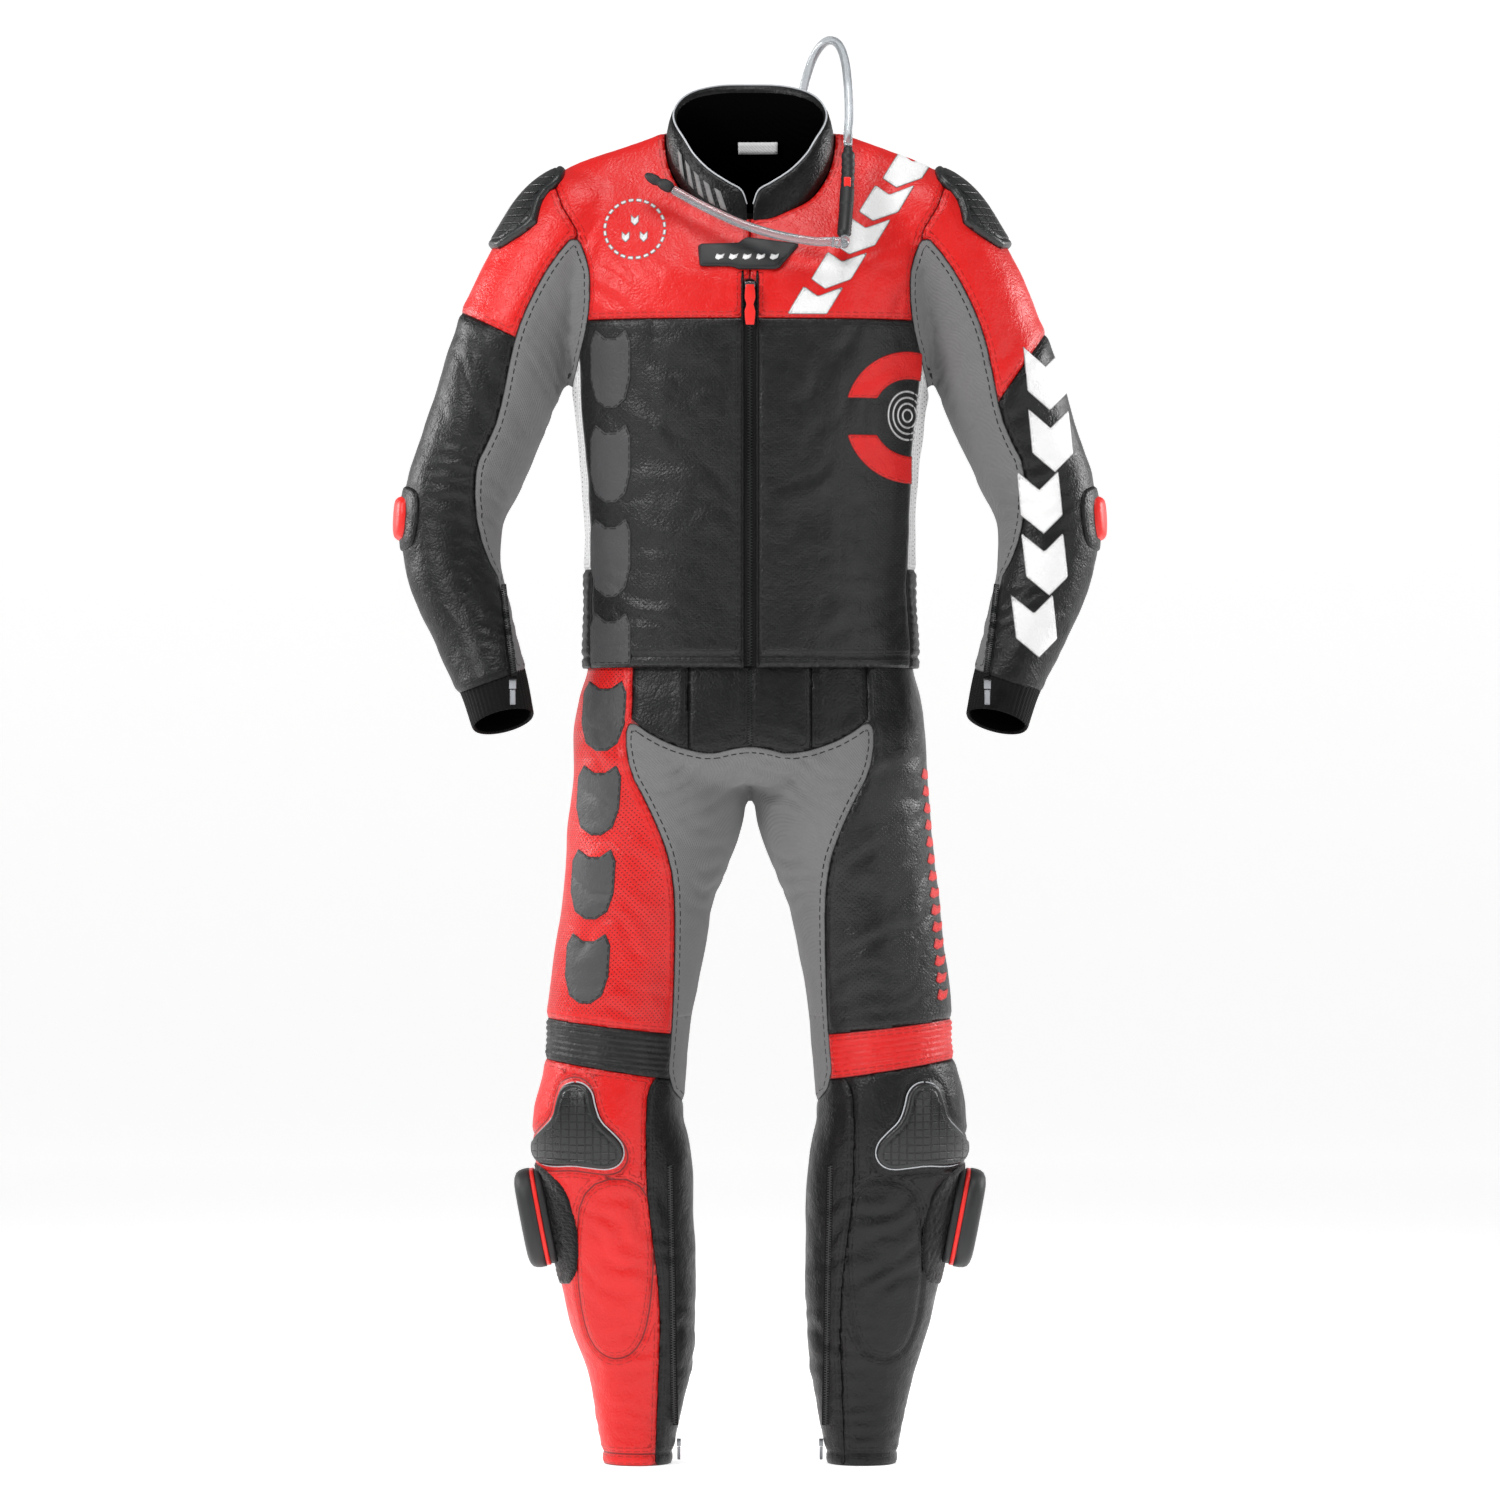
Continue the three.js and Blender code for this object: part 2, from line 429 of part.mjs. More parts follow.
for (const [side, word] of SIDES) {
  const at = side < 0 ? (o) => o : mirrored;
  const main = side < 0 ? SKIN.red : SKIN.black;
  const leg = (z0, z1) => prism(at(band(-FAR, -SEAM, z0, z1)), -FAR, FAR);
  add(`thigh_${word}`, noSeat.intersect(leg(KNEE_TOP + SEAM, 860)), main);
  add(`knee_flex_${word}`, noSeat.intersect(leg(KNEE_BOTTOM + SEAM, KNEE_TOP)), side < 0 ? SKIN.black : SKIN.red);
  const lower = noSeat.intersect(leg(-10, KNEE_BOTTOM));
  add(`calf_${word}`, lower.intersect(prism(at(INNER_CALF), -FAR, FAR)), SKIN.black);
  add(`shin_${word}`, lower.subtract(prism(at(grown(INNER_CALF, SEAM)), -FAR, FAR)), main);
}

// ---- Zips and badge ----
const boxAt = (w, d, h, x, y, z) => solid(welded(new THREE.BoxGeometry(w, d, h).translate(x, y, z)));
const ZIP_HIGH = ZIP_TOP - HEM;
add("main_zip", boxAt(ZIP_WIDTH - 2 * FIT, 3, ZIP_HIGH - 2, 0, -ZIP_FRONT + 2, HEM + ZIP_HIGH / 2), SKIN.plastic);
const SLIDER = { wide: 10, deep: 5, high: 15 };
const sliderY = -ZIP_FRONT - FIT - SLIDER.deep / 2 + 0.3;
add("main_zip_slider", boxAt(SLIDER.wide, SLIDER.deep, SLIDER.high, 0, sliderY, ZIP_TOP - SLIDER.high / 2 - 1), SKIN.metal);
const PULL = { wide: 11, thick: 2.5, high: 40 };
const pullY = sliderY - SLIDER.deep / 2 - FIT - PULL.thick / 2;
add("main_zip_pull", boxAt(PULL.wide, PULL.thick, PULL.high, 0, pullY, ZIP_TOP - PULL.high / 2 - 4), SKIN.red);

// Neck badge: a six-sided rubber plate on the yoke's slope, above the zip.
const BADGE = [[-52, 1221], [-12, 1222], [-4, 1228], [50, 1221], [28, 1195], [-50, 1198]];
const badgeLayer = trunkGrown(4).subtract(trunkGrown(FIT));
add("neck_badge", badgeLayer.intersect(prism(BADGE, -FAR, 0)), SKIN.plastic);

// Cuff and ankle zip pullers hang at the ends of their zips.
const CUFF_PULL = { x: -236, y: -92, z: 776, wide: 7, thick: 4, high: 26, lean: 17 };
const ANKLE_PULL = { x: -71.6, y: 8, z: 14, wide: 7, thick: 4, high: 22 };
for (const [side, word] of SIDES) {
  const cuffPull = boxAt(CUFF_PULL.wide, CUFF_PULL.thick, CUFF_PULL.high, 0, 0, 0).rotate([CUFF_PULL.lean, 0, 0]);
  add(`cuff_zip_puller_${word}`, cuffPull.translate([side * -CUFF_PULL.x, CUFF_PULL.y, CUFF_PULL.z]), SKIN.metal);
  const anklePull = boxAt(ANKLE_PULL.thick, ANKLE_PULL.wide, ANKLE_PULL.high, side * -ANKLE_PULL.x, ANKLE_PULL.y, ANKLE_PULL.z);
  add(`ankle_zip_puller_${word}`, anklePull, SKIN.metal);
}

// ---- Drinking system ----
const route = (points) => new THREE.CatmullRomCurve3(points.map((p) => new THREE.Vector3(...p)));
function tube(points, radius, steps, sides = 8) {
  const section = new THREE.Shape(Array.from({ length: sides }, (_, j) => {
    const t = (2 * Math.PI * j) / sides;
    return new THREE.Vector2(radius * Math.cos(t), radius * Math.sin(t));
  }));
  const made = new THREE.ExtrudeGeometry(section, { steps, extrudePath: route(points), bevelEnabled: false });
  return solid(welded(made));
}
const SUPPLY_ROUTE = [
  [50, 82, 1352], [51, 82, 1366], [53, 81, 1382], [57, 79, 1400], [63, 75, 1418], [70, 67, 1430], [78, 54, 1436],
  [86, 38, 1434], [92, 22, 1425], [96, 4, 1409], [98, -13, 1389], [99, -28, 1368], [99, -40, 1350], [98, -48, 1336],
  [98, -53, 1322],
];
const CONNECTOR = [[98, -53.5, 1319.5], [98, -62, 1298], [96, -84, 1262], [93, -108, 1228]];
const DRINK_ROUTE = [
  [83, -118, 1222], [76, -119, 1222], [66, -119, 1222], [52, -118, 1224], [36, -115, 1227], [20, -111, 1231], [4, -107, 1236],
  [-12, -102, 1242], [-27, -97, 1249], [-41, -92, 1256], [-54, -87, 1263], [-66, -82, 1270], [-76, -78, 1276],
];
add("supply_tube", tube(SUPPLY_ROUTE, TUBE_R, 40), SKIN.clear);
const elbowFitting = tube([[94, -110, 1222], [93, -117, 1221], [84.5, -118, 1222]], TUBE_R + 1.5, 6);
const body = tube(CONNECTOR, 7, 8, 10).add(elbowFitting);
const BUTTON = { x: 97, y: -78.5, z: 1283, wide: 7, deep: 5, high: 12, press: 1.5 };
const buttonPocket = boxAt(BUTTON.wide + 1, BUTTON.deep + 1 + BUTTON.press, BUTTON.high + 1, BUTTON.x, BUTTON.y + BUTTON.press / 2, BUTTON.z);
add("quick_connector", body.subtract(buttonPocket), SKIN.plastic);
add("release_button", boxAt(BUTTON.wide, BUTTON.deep, BUTTON.high, BUTTON.x, BUTTON.y, BUTTON.z), SKIN.red);
add("drink_tube", tube(DRINK_ROUTE, TUBE_R, 36), SKIN.clear);
add("bite_valve", tube([[-77.5, -77.5, 1277], [-84, -75, 1281], [-92, -71, 1285], [-104, -66, 1292]], 6, 6), SKIN.plastic);

group.position.set(0, 0, -HANGER_HEIGHT);
export default group;
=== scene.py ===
"""Two-piece leather racing suit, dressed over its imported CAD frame."""
import math

import bmesh
import bpy
import numpy as np
from mathutils import Matrix, Vector, noise
from mathutils.bvhtree import BVHTree


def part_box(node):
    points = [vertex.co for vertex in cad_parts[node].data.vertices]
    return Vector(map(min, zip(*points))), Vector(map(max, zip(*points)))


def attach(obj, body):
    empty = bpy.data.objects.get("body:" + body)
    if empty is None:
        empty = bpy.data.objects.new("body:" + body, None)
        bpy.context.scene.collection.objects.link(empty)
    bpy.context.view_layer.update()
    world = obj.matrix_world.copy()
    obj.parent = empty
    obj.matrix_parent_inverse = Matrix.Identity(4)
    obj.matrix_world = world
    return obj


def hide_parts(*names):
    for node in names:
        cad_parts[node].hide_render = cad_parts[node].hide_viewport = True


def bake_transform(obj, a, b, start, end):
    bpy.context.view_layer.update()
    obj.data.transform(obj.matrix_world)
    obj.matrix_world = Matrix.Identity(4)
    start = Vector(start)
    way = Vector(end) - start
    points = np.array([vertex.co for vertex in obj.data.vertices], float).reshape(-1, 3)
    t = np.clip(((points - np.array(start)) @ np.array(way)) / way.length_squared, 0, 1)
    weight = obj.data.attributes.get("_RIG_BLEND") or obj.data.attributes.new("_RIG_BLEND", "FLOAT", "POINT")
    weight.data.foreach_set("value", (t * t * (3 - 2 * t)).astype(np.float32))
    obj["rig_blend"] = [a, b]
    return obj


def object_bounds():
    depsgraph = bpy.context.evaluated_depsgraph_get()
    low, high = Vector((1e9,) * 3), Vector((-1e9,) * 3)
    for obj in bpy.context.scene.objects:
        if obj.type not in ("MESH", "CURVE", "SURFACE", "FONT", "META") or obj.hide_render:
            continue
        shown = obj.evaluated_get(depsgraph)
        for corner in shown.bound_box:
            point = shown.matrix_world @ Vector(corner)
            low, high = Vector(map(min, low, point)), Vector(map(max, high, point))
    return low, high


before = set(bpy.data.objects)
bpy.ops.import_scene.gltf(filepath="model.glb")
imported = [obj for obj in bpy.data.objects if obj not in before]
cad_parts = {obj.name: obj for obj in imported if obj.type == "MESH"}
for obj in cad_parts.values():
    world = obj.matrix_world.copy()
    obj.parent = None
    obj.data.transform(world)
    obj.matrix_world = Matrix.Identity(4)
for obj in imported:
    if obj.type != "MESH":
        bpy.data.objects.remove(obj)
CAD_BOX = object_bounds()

bl_info = {
    "name": "Racing suit",
    "version": (1, 0, 0),
    "blender": (4, 5, 0),
    "location": "3D View > Sidebar > Suit",
    "description": "Builds a two-piece leather racing suit piece by piece",
    "category": "Object",
}

# ---- Sizes, in mm; heights are counted from the leg hems ----
HANGER = 1290
HEM = 800
WAIST_TOP = 835
YOKE = 1147
ZIP_TOP = 1184
BOX_ROUND = 2.35
ELBOW = (986, 930)  # top and bottom of the part that folds
KNEE = (450, 388)
TRUNK = [
    (HEM, 170, 106, 100), (880, 167, 107, 98), (980, 169, 108, 104), (1070, 178, 108, 116),
    (YOKE, 184, 107, 124), (1195, 188, 103, 124), (1240, 190, 77, 116), (1275, 189, 52, 98),
    (1302, 184, 34, 76), (1322, 136, 24, 62), (1340, 84, 16, 54),
]
HIPS = [
    (WAIST_TOP, 160, 96, 92), (HEM, 164, 99, 95), (768, 173, 103, 108), (730, 178, 104, 114),
    (700, 175, 96, 110), (684, 150, 70, 84),
]
ARM = [
    (-118, 8, 1262, 38, 42), (-168, 8, 1248, 58, 60), (-200, 8, 1206, 60, 65), (-228, 8, 1150, 60, 66),
    (-252, 10, 1085, 61, 62), (-278, 14, 1015, 56, 57), (-299, 16, 958, 52, 54), (-297, 6, 898, 48.5, 50),
    (-278, -16, 838, 41, 44), (-258, -40, 788, 36, 39), (-247, -54, 748, 33, 36),
]
LEG = [
    (-84, 4, 788, 62, 80), (-89, 4, 740, 86, 98), (-91, 4, 675, 88, 96), (-103, 3, 618, 82, 90),
    (-114, 2, 568, 76, 84), (-129, 0, 468, 72, 77), (-134, -4, 408, 70, 74), (-142, -10, 345, 76, 78),
    (-134, -4, 288, 77, 74), (-122, 8, 178, 66, 66), (-113, 14, 110, 56, 57), (-112, 14, 62, 46, 49),
    (-113, 13, 12, 36, 43), (-113, 13, 0, 35, 42),
]
# Where the leather folds, on the wearer's right: centre, reach, direction across the folds, spacing, depth.
JACKET_FOLDS = [
    ((-285, -40, 965), (70, 70, 85), (0.25, 0, 1), 17, 2.4),
    ((-272, -30, 850), (60, 70, 70), (0.45, 0, 1), 15, 1.7),
    ((-255, -30, 1075), (70, 70, 100), (0.8, 0, 0.6), 30, 1.8),
    ((-150, -90, 1195), (60, 60, 75), (0.8, 0, 0.55), 22, 1.9),
    ((-60, -90, 1205), (60, 60, 50), (0.5, 0, 0.8), 26, 1.3),
    ((-90, -100, 1080), (90, 70, 90), (0.75, 0, 0.65), 42, 2.0),
    ((-70, -100, 960), (90, 60, 90), (0.3, 0, 1), 48, 1.6),
    ((-130, -90, 860), (80, 60, 70), (0.35, 0, 1), 26, 1.8),
    ((-205, -20, 1120), (50, 90, 110), (0.9, 0, 0.45), 14, 1.8),
    ((-120, 110, 960), (110, 60, 150), (0.5, 0, 1), 38, 2.2),
    ((-140, 90, 1180), (80, 60, 80), (0.8, 0, 0.5), 26, 1.8),
    ((-285, 60, 960), (70, 60, 80), (0.1, 0, 1), 26, 1.6),
]
TROUSER_FOLDS = [
    ((-45, -85, 690), (80, 70, 70), (-0.45, 0, 1), 15, 2.5),
    ((-70, -20, 610), (60, 100, 100), (0.45, 0, 1), 21, 2.2),
    ((-140, -80, 560), (80, 70, 110), (0.5, 0, 1), 38, 2.6),
    ((-150, -70, 700), (70, 80, 80), (0.6, 0, 1), 30, 2.2),
    ((-125, -70, 475), (80, 70, 45), (0.2, 0, 1), 20, 1.5),
    ((-130, -60, 225), (80, 80, 90), (0.6, 0, 0.9), 25, 2.6),
    ((-100, 0, 130), (70, 80, 90), (-0.4, 0, 1), 22, 2.0),
    ((-113, 0, 45), (60, 70, 55), (0.25, 0, 1), 15, 1.7),
    ((-130, 70, 420), (80, 60, 80), (0, 0, 1), 16, 2.6),
    ((-90, 100, 640), (110, 60, 80), (0.3, 0, 1), 36, 2.2),
]
ARMHOLE = [(-196, 1345), (-198, 1290), (-188, 1262), (-172, 1236), (-178, 1100), (-184, 1066), (-206, 960),
           (-206, 700)]
STRETCH_FRONT = [
    (-173, 1236), (-198, 1207), (-218, 1172), (-234, 1134), (-243, 1093), (-251, 1052), (-263, 1024),
    (-274, 1004),
    (-276, 970), (-272, 938), (-263, 911), (-249, 886), (-236, 795), (-222, 730), (-190, 730), (-190, 950),
    (-184, 1066), (-177, 1092), (-171, 1114), (-163, 1145), (-160, 1179), (-162, 1203),
]
STRETCH_BACK = [
    (-178, 1118), (-200, 1095), (-222, 1040), (-240, 986), (-246, 940), (-243, 900), (-236, 860), (-225, 790),
    (-215, 730), (-190, 730), (-190, 950), (-184, 1066),
]
CUFF = [(-330, 761.6), (-180, 813.8), (-180, 690), (-330, 690)]
COLOUR_SEAM = {"right": [(-360, 1192), (-190, 1108)], "left": [(-340, 1196), (-206, 1006)]}
CROTCH_FRONT = [
    (0, 722), (-19, 719), (-38, 714), (-66, 719), (-95, 731), (-120, 749), (-125, 731), (-120, 696),
    (-104, 667),
    (-89, 634), (-79, 605), (-74.5, 570), (-74.5, 520), (-76, 460), (-78, 430), (-82, 386), (-60, 356),
    (0, 356),
]
CROTCH_BACK = [(0, 690), (-60, 690), (-46, 600), (-78, 470), (-82, 386), (-60, 356), (0, 356)]
WAIST_FRONT = [(-116, 850), (-118, 749.5), (-66, 700), (66, 700), (118, 749.5), (116, 850)]
ACCORDION = [(-260, 455), (-201, 448), (-76, 433.4), (-40, 430), (-40, 386), (-82, 389.4), (-204, 408.5),
             (-260, 414)]
INNER_CALF = [(-84, 400), (-98, 386), (-103, 367), (-103, 284), (-98, 238), (-92, 192), (-89, 147), (-92, 70),
              (-95, -20), (0, -20), (0, 400)]
SHOULDER_CAP = [
    (-187, 1330), (-185, 1300), (-188, 1287), (-206, 1273), (-212, 1253), (-214, 1232), (-220, 1222),
    (-232, 1217),
    (-246, 1219), (-262, 1223), (-290, 1226), (-290, 1330),
]
KNEE_CAP = [
    (-176, 387), (-166, 386), (-157, 378), (-154, 362), (-149, 348), (-136, 336), (-127, 326), (-125, 314),
    (-131, 304),
    (-142, 300), (-160, 302), (-176, 304), (-196, 302), (-210, 304), (-217, 316), (-215, 330), (-204, 342),
    (-195, 352), (-192, 368), (-187, 382),
]
HOOK_PATCH = [(-250, 306), (-218, 306), (-203, 296), (-189, 286), (-177, 262), (-171, 224), (-174, 190),
              (-184, 180), (-250, 180)]
SHOULDER_SIDE = [(-50, 1262), (-42, 1226), (8, 1206), (58, 1226), (66, 1262), (58, 1310), (34, 1345),
                 (-18, 1345), (-42, 1310)]
ELBOW_BASE = [(-18, 918), (52, 918), (60, 934), (60, 970), (50, 984), (-16, 984), (-26, 968), (-26, 932)]
ELBOW_PAD = [(-6, 928), (40, 928), (46, 938), (46, 964), (38, 974), (-6, 974), (-13, 962), (-13, 938)]
SHIN_SEAM = [(-168, 290), (-176, 210), (-166, 128), (-140, 104), (-108, 118), (-96, 180), (-96, 290)]
BADGE = [(-52, 1221), (-12, 1222), (-4, 1228), (50, 1221), (28, 1195), (-12, 1195), (-18, 1198), (-50, 1198)]
SIDES = [("right", -1), ("left", 1)]
NECK = (86, 62, -10)  # neck hole seen from above: half width, half depth, its middle's place
PLEAT = 8.5  # spacing of the stitched pleats at the jacket's back and sides
FINE = 2.2  # face size on pleated leather
PUCK_TILT = 0.19  # how far the knee sliders lean, in radians
HUMP = [  # height, half width, how far back it reaches
    (1330, 30, 84), (1312, 48, 112), (1270, 62, 152), (1220, 68, 170), (1165, 64, 166), (1115, 50, 150),
    (1080, 28, 128),
]
HUMP_SEAT = ((1270, 1293, 1312), (91, 72, 54))  # height, and how far back the hump's inner side lies
HUMP_MIDDLE = 50
EYE = (0, -8.05, 718)  # camera: metres across, metres forward, mm above the hems


class SuitSettings(bpy.types.PropertyGroup):
    """The colours and sizes that can be set in the panel"""
    red: bpy.props.FloatVectorProperty(name="Red", description="Red leather", subtype="COLOR_GAMMA",
                                       default=(0.845, 0.075, 0.065))
    black: bpy.props.FloatVectorProperty(name="Black", description="Black leather", subtype="COLOR_GAMMA",
                                         default=(0.062, 0.064, 0.068))
    grey: bpy.props.FloatVectorProperty(name="Grey", description="Stretch fabric", subtype="COLOR_GAMMA",
                                        default=(0.475, 0.475, 0.478))
    badge_grey: bpy.props.FloatVectorProperty(name="Dark grey", description="Dark appliques",
                                              subtype="COLOR_GAMMA", default=(0.255, 0.255, 0.260))
    white: bpy.props.FloatVectorProperty(name="White", description="White leather", subtype="COLOR_GAMMA",
                                         default=(0.930, 0.930, 0.930))
    fold_depth: bpy.props.FloatProperty(name="Fold depth",
                                        description="How deep the leather creases, 1 is as worn", default=1.0,
                                        min=0, max=2)
    seam_depth: bpy.props.FloatProperty(name="Seam depth", description="How far a seam pulls in",
                                        default=0.0014, unit="LENGTH", min=0, max=0.004)
    leather: bpy.props.FloatProperty(name="Leather", description="Thickness of the leather", default=0.0013,
                                     unit="LENGTH", min=0.0008, max=0.002)
    stitch: bpy.props.FloatProperty(name="Stitch", description="Length of one stitch with its gap",
                                    default=0.0042, unit="LENGTH", min=0.002, max=0.008)
    hole_pitch: bpy.props.FloatProperty(name="Hole pitch", description="Spacing of the perforation",
                                        default=0.0046, unit="LENGTH", min=0.003, max=0.01)
    tube: bpy.props.FloatProperty(name="Tube", description="Outside diameter of the drinking tube",
                                  default=0.009, unit="LENGTH", min=0.006, max=0.012)


def settings():
    """The suit's sizes and colours, as set in the panel."""
    return bpy.context.scene.suit


# ---- Curves and lofts ----
def smooth(stations, steps):
    """Catmull-Rom through the stations, steps per span."""
    p = np.array(stations, float)
    p = np.vstack([2 * p[0] - p[1], p, 2 * p[-1] - p[-2]])
    rows = []
    for i in range(1, len(p) - 2):
        for t in np.arange(steps) / steps:
            rows.append(0.5 * (2 * p[i] + (p[i + 1] - p[i - 1]) * t
                               + (2 * p[i - 1] - 5 * p[i] + 4 * p[i + 1] - p[i + 2]) * t**2
                               + (3 * p[i] - p[i - 1] - 3 * p[i + 1] + p[i + 2]) * t**3))
    return np.array(rows + [p[-2]])


def place(points):
    """Points in mm from the leg hems, as metres in the row's frame."""
    return (np.asarray(points, float) - (0, 0, HANGER)) / 1000


def in_mm(points):
    """The other way: metres in the row's frame, as mm from the leg hems."""
    return np.asarray(points, float) * 1000 + (0, 0, HANGER)


def verts_mm(bm):
    """Every point of a mesh, in mm from the leg hems."""
    return in_mm([v.co for v in bm.verts])


def trunk_rings(stations, around=96):
    """Rings of the trunk from its rows: height, half width, reach to the front, reach to the back."""
    t = np.linspace(0, 2 * np.pi, around, endpoint=False)
    power = 2 / BOX_ROUND
    x, y = np.sign(np.cos(t)) * abs(np.cos(t)) ** power, np.sign(np.sin(t)) * abs(np.sin(t)) ** power
    rows = smooth(stations, 6)
    way = math.copysign(14, rows[0][0] - rows[1][0])
    first = rows[0].copy()
    first[0] += way
    rings = []
    for z, half, front, back in [first, *rows]:
        rings.append(np.stack([half * x, np.where(y < 0, front, back) * y, np.full(around, z)], 1))
    return rings


def path_rings(points, half, deep, around, past=0.0):
    """Elliptic rings square to a path, wide across and deep front to back."""
    c = np.array(points, float)
    along = np.gradient(c, axis=0)
    along /= np.linalg.norm(along, axis=1)[:, None]
    across = np.cross((0, 1, 0), along)
    across /= np.linalg.norm(across, axis=1)[:, None]
    through = np.cross(along, across)
    t = np.linspace(0, 2 * np.pi, around, endpoint=False)
    rings = [c[i] + np.outer(np.cos(t) * half[i], across[i]) + np.outer(np.sin(t) * deep[i], through[i])
             for i in range(len(c))]
    return rings + ([rings[-1] + along[-1] * past] if past else [])


def limb_rings(stations, side, around=64, past=14.0, grow=0.0):
    """Rings of a sleeve or a leg on one side, a little past its open end."""
    rows = smooth(stations, 6)
    rings = path_rings(rows[:, :3], rows[:, 3] + grow, rows[:, 4] + grow, around, past)
    return rings if side < 0 else [r * (-1, 1, 1) for r in rings]


def loft(bm, rings, ends=True):
    """Bridges one ring after another into a skin, and closes its ends."""
    loops = []
    for points in rings:
        made = bmesh.ops.create_circle(bm, cap_ends=False, radius=0.01, segments=len(points))["verts"]
        for vert, co in zip(made, place(points)):
            vert.co = co
        loops.append(list({e for v in made for e in v.link_edges}))
    for a, b in zip(loops, loops[1:]):
        bmesh.ops.bridge_loops(bm, edges=a + b)
    if ends:
        for loop in (loops[0], loops[-1]):
            bmesh.ops.contextual_create(bm, geom=loop)
    bmesh.ops.recalc_face_normals(bm, faces=bm.faces)


# ---- The soft form that every panel is cut from ----
def ready(bm):
    """Gives a skin what the cutter needs: the distance to a seam, the way along it, and which way is out."""
    seam = bm.verts.layers.float.new("seam")
    bm.verts.layers.float.new("run")
    out = bm.verts.layers.float_vector.new("out")
    bm.normal_update()
    for v in bm.verts:
        v[seam], v[out] = 99, v.normal
    return bm


def edge_pairs(bm):
    """The two point numbers of every edge."""
    return np.array([(e.verts[0].index, e.verts[1].index) for e in bm.edges])


def relax(co, edges, times):
    """Smooths points without shrinking them: a step in, then a slightly longer step out."""
    n = len(co)
    a, b = edges[:, 0], edges[:, 1]
    count = (np.bincount(a, minlength=n) + np.bincount(b, minlength=n))[:, None]
    for _ in range(times):
        for step in (0.55, -0.57):
            total = np.stack([np.bincount(a, co[b, k], n) + np.bincount(b, co[a, k], n) for k in range(3)], 1)
            co = co + step * (total / count - co)
    return co


def bumps(points, size, seed):
    """Smooth noise at each point, with bumps about a size in mm."""
    return np.array([noise.noise(p) for p in (points / size + seed).tolist()])


def folds(co, table):
    """Height of the creases at each point, in mm: round ridges, narrow valleys, fading at the edges."""
    height = 2.6 * bumps(co, 75, 3.1) + 0.9 * bumps(co, 26, 7.7)
    wander, patch = bumps(co, 46, 11.3), bumps(co, 30, 23.9)
    for side in (-1, 1):
        for k, (centre, reach, way, gap, depth) in enumerate(table):
            c = np.array(centre, float) * (-side, 1, 1)
            d = np.array(way, float) * (-side, 1, 1)
            near = np.clip(1.7 - 1.7 * np.linalg.norm((co - c) / reach, axis=1), 0, 1)
            fade = near * near * (3 - 2 * near)
            phase = np.pi * (co @ (d / np.linalg.norm(d))) / gap + 2.6 * wander + 1.7 * side + k
            height += depth * 1.5 * fade * (abs(np.sin(phase)) ** 0.8 - 0.6) * (0.75 + 0.9 * patch)
    return height


FORMS = {}


def cell():
    """Edge length of the skin's faces, in mm."""
    return 4.6


def form(which):
    """The jacket's or the trousers' skin as one closed mesh: (smooth one, creased one)."""
    if which in FORMS:
        return FORMS[which]
    bm = bmesh.new()
    if which == "jacket":
        stations, limb, table, hard = TRUNK, ARM, JACKET_FOLDS, [shoulder_limits, elbow_limits]
    else:
        stations, limb, table, hard = HIPS, LEG, TROUSER_FOLDS, [knee_limits, hook_limits]
    loft(bm, trunk_rings(stations))
    for _, side in SIDES:
        loft(bm, limb_rings(limb, side))
    mesh = bpy.data.meshes.new("form")
    bm.to_mesh(mesh)
    holder = bpy.data.objects.new("form", mesh)
    bpy.context.scene.collection.objects.link(holder)
    skin = holder.modifiers.new("skin", "REMESH")
    skin.mode, skin.voxel_size = "VOXEL", cell() / 1000
    plain = bpy.data.meshes.new_from_object(holder.evaluated_get(bpy.context.evaluated_depsgraph_get()))
    bpy.data.objects.remove(holder)
    result = []
    bm = bmesh.new()
    bm.from_mesh(plain)
    bm.verts.index_update()
    edges = edge_pairs(bm)
    co = relax(np.array([v.co for v in bm.verts]), edges, round(900 / cell() ** 2))
    for creased in (False, True):
        if creased:
            bm.normal_update()
            normal = np.array([v.normal for v in bm.verts])
            mm = in_mm(co)
            calm = np.ones(len(mm))  # armour keeps the leather under it flat
            for _, side in SIDES:
                for border in hard:
                    calm = np.minimum(calm, np.clip(border(side)(mm)[0] / 12, 0, 1))
            co = co + normal * (folds(mm, table) * calm * settings().fold_depth / 1000)[:, None]
            co = relax(co, edges, 1)
        for v, p in zip(bm.verts, co):
            v.co = p
        bm.normal_update()
        result.append(ready(bm.copy()))
    FORMS[which] = tuple(result)
    return FORMS[which]


